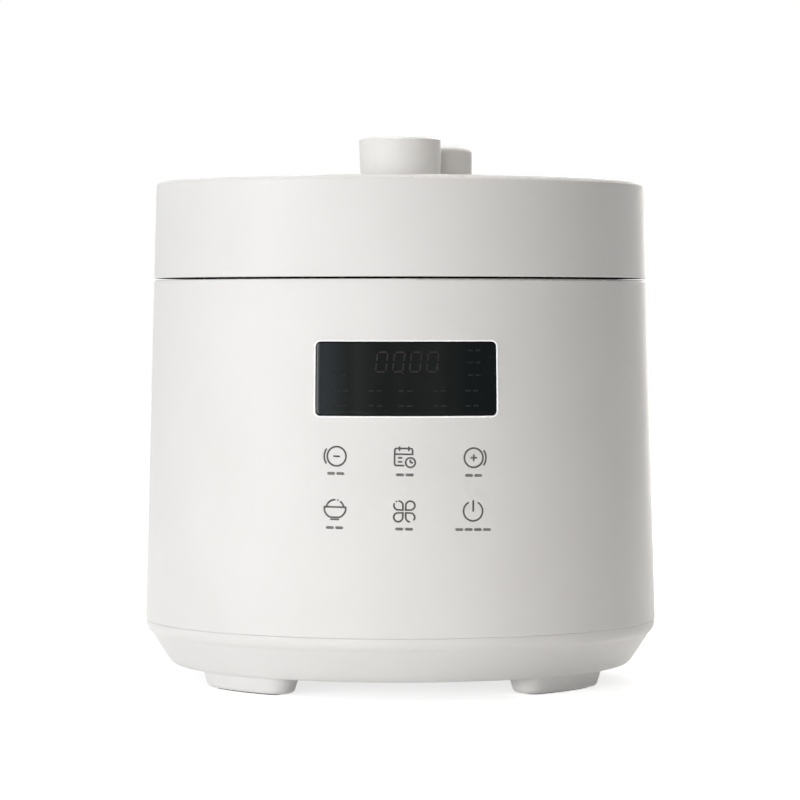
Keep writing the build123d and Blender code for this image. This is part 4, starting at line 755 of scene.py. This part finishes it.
def area_lamp(name, place, aim, size, watts, colour, mirrored=False, spread=180):
    """Lamp that the camera doesn't see; mirrored shows it in gloss, and spread is its beam in degrees."""
    data = bpy.data.lights.new(name, "AREA")
    data.shape = "RECTANGLE"
    data.size, data.size_y = size
    data.energy = watts
    data.color = colour
    data.spread = math.radians(spread)
    lamp = bpy.data.objects.new(name, data)
    lamp.visible_camera = False
    lamp.visible_glossy = mirrored
    lamp.location = place
    lamp.rotation_euler = (aim - place).to_track_quat("-Z", "Y").to_euler()
    bpy.context.scene.collection.objects.link(lamp)


def softbox(name, azimuth, elevation, distance, size, watts, colour, mirrored=False):
    """Area lamp aimed at the cooker; azimuth 0 is the front, positive to the right."""
    a, e = math.radians(azimuth), math.radians(elevation)
    away = Vector((math.sin(a) * math.cos(e), -math.cos(a) * math.cos(e), math.sin(e)))
    area_lamp(name, MIDDLE + away * distance, MIDDLE, size, watts, colour, mirrored)


def make_lamps():
    softbox("side", -55, 12, distance=2.0, size=(0.7, 1.2), watts=1.8, colour=COOL_LIGHT)
    softbox("strip", -64, 16, distance=2.0, size=(0.6, 1.6), watts=5.6, colour=COOL_LIGHT, mirrored=True)
    softbox("front_left", -30, 4, distance=2.1, size=(1.8, 0.44), watts=22.0, colour=SOFT_LIGHT)
    softbox("overhead", -30, 84, distance=1.6, size=(1.6, 1.6), watts=6.0, colour=WARM_LIGHT)
    softbox("back", 165, 45, distance=1.8, size=(0.8, 0.8), watts=8.0, colour=WARM_LIGHT)
    softbox("rim", 160, 14, distance=1.8, size=(0.5, 1.6), watts=9.0, colour=WARM_LIGHT, mirrored=True)
    wash_from, wash_to = Vector((-0.02, -0.19, 0.3)), Vector((-0.02, -0.19, 0))
    hair_from, hair_to = Vector((0.35, 0.55, 1.7)), Vector((0.02, 0, 0.2))
    # the wash lights only the floor in front, which brightens the base from below
    area_lamp("floor_wash", wash_from, wash_to, (0.36, 0.06), 0.07, WARM_LIGHT, spread=10)
    # the hair light reaches the lid's rounded rim from above and behind
    area_lamp("hair", hair_from, hair_to, (0.3, 0.3), 0.2, WARM_LIGHT, spread=10)


def seen_white(nodes, links):
    """1 for rays that show the surroundings, straight or in gloss or glass, and 0 for rays that light."""
    path = nodes.new("ShaderNodeLightPath")
    value = path.outputs["Is Camera Ray"]
    for name in ("Is Glossy Ray", "Is Transmission Ray"):
        either = nodes.new("ShaderNodeMath")
        either.operation = "MAXIMUM"
        links.new(value, either.inputs[0])
        links.new(path.outputs[name], either.inputs[1])
        value = either.outputs["Value"]
    return value


def make_world():
    """Plain white room: lights the object at one strength and shows as white."""
    world = bpy.data.worlds.new("world")
    world.use_nodes = True
    nodes, links = world.node_tree.nodes, world.node_tree.links
    background = nodes["Background"]
    background.inputs["Color"].default_value = (1, 1, 1, 1)
    level = nodes.new("ShaderNodeMapRange")
    level.inputs["To Min"].default_value = ROOM_LIGHT
    level.inputs["To Max"].default_value = 1.0
    links.new(seen_white(nodes, links), level.inputs["Value"])
    links.new(level.outputs["Result"], background.inputs["Strength"])
    bpy.context.scene.world = world


def floor_material():
    """Matte and pale, with a glow that only shows and doesn't light: full white away from the cooker."""
    material = bpy.data.materials.new("floor")
    material.use_nodes = True
    nodes, links = material.node_tree.nodes, material.node_tree.links
    nodes.clear()
    output = nodes.new("ShaderNodeOutputMaterial")
    matte = nodes.new("ShaderNodeBsdfDiffuse")
    matte.inputs["Color"].default_value = (*grey(FLOOR_GREY), 1)
    coords = nodes.new("ShaderNodeTexCoord")
    distance = nodes.new("ShaderNodeVectorMath")
    distance.operation = "LENGTH"
    level = nodes.new("ShaderNodeMapRange")
    level.inputs["From Min"].default_value = NEAR_R
    level.inputs["From Max"].default_value = FAR_R
    level.inputs["To Min"].default_value = NEAR_GLOW
    level.inputs["To Max"].default_value = FAR_GLOW
    share = nodes.new("ShaderNodeMath")
    share.operation = "MULTIPLY"
    glow = nodes.new("ShaderNodeEmission")
    both = nodes.new("ShaderNodeAddShader")
    links.new(coords.outputs["Object"], distance.inputs[0])
    links.new(distance.outputs["Value"], level.inputs["Value"])
    links.new(level.outputs["Result"], share.inputs[0])
    links.new(seen_white(nodes, links), share.inputs[1])
    links.new(share.outputs["Value"], glow.inputs["Strength"])
    links.new(matte.outputs["BSDF"], both.inputs[0])
    links.new(glow.outputs["Emission"], both.inputs[1])
    links.new(both.outputs["Shader"], output.inputs["Surface"])
    return material


def make_floor():
    """Pale floor that fades into the room and keeps the cooker's soft shadow."""
    bm = bmesh.new()
    bmesh.ops.create_circle(bm, cap_ends=True, radius=FLOOR_R, segments=FLOOR_SIDES)
    floor = mesh_object("floor", bm, smooth=False)
    floor.data.materials.append(floor_material())


make_camera()
make_world()
make_floor()
make_lamps()


# ------------------------------------------------------------------ view transform
bpy.context.scene.view_settings.view_transform = "Standard"
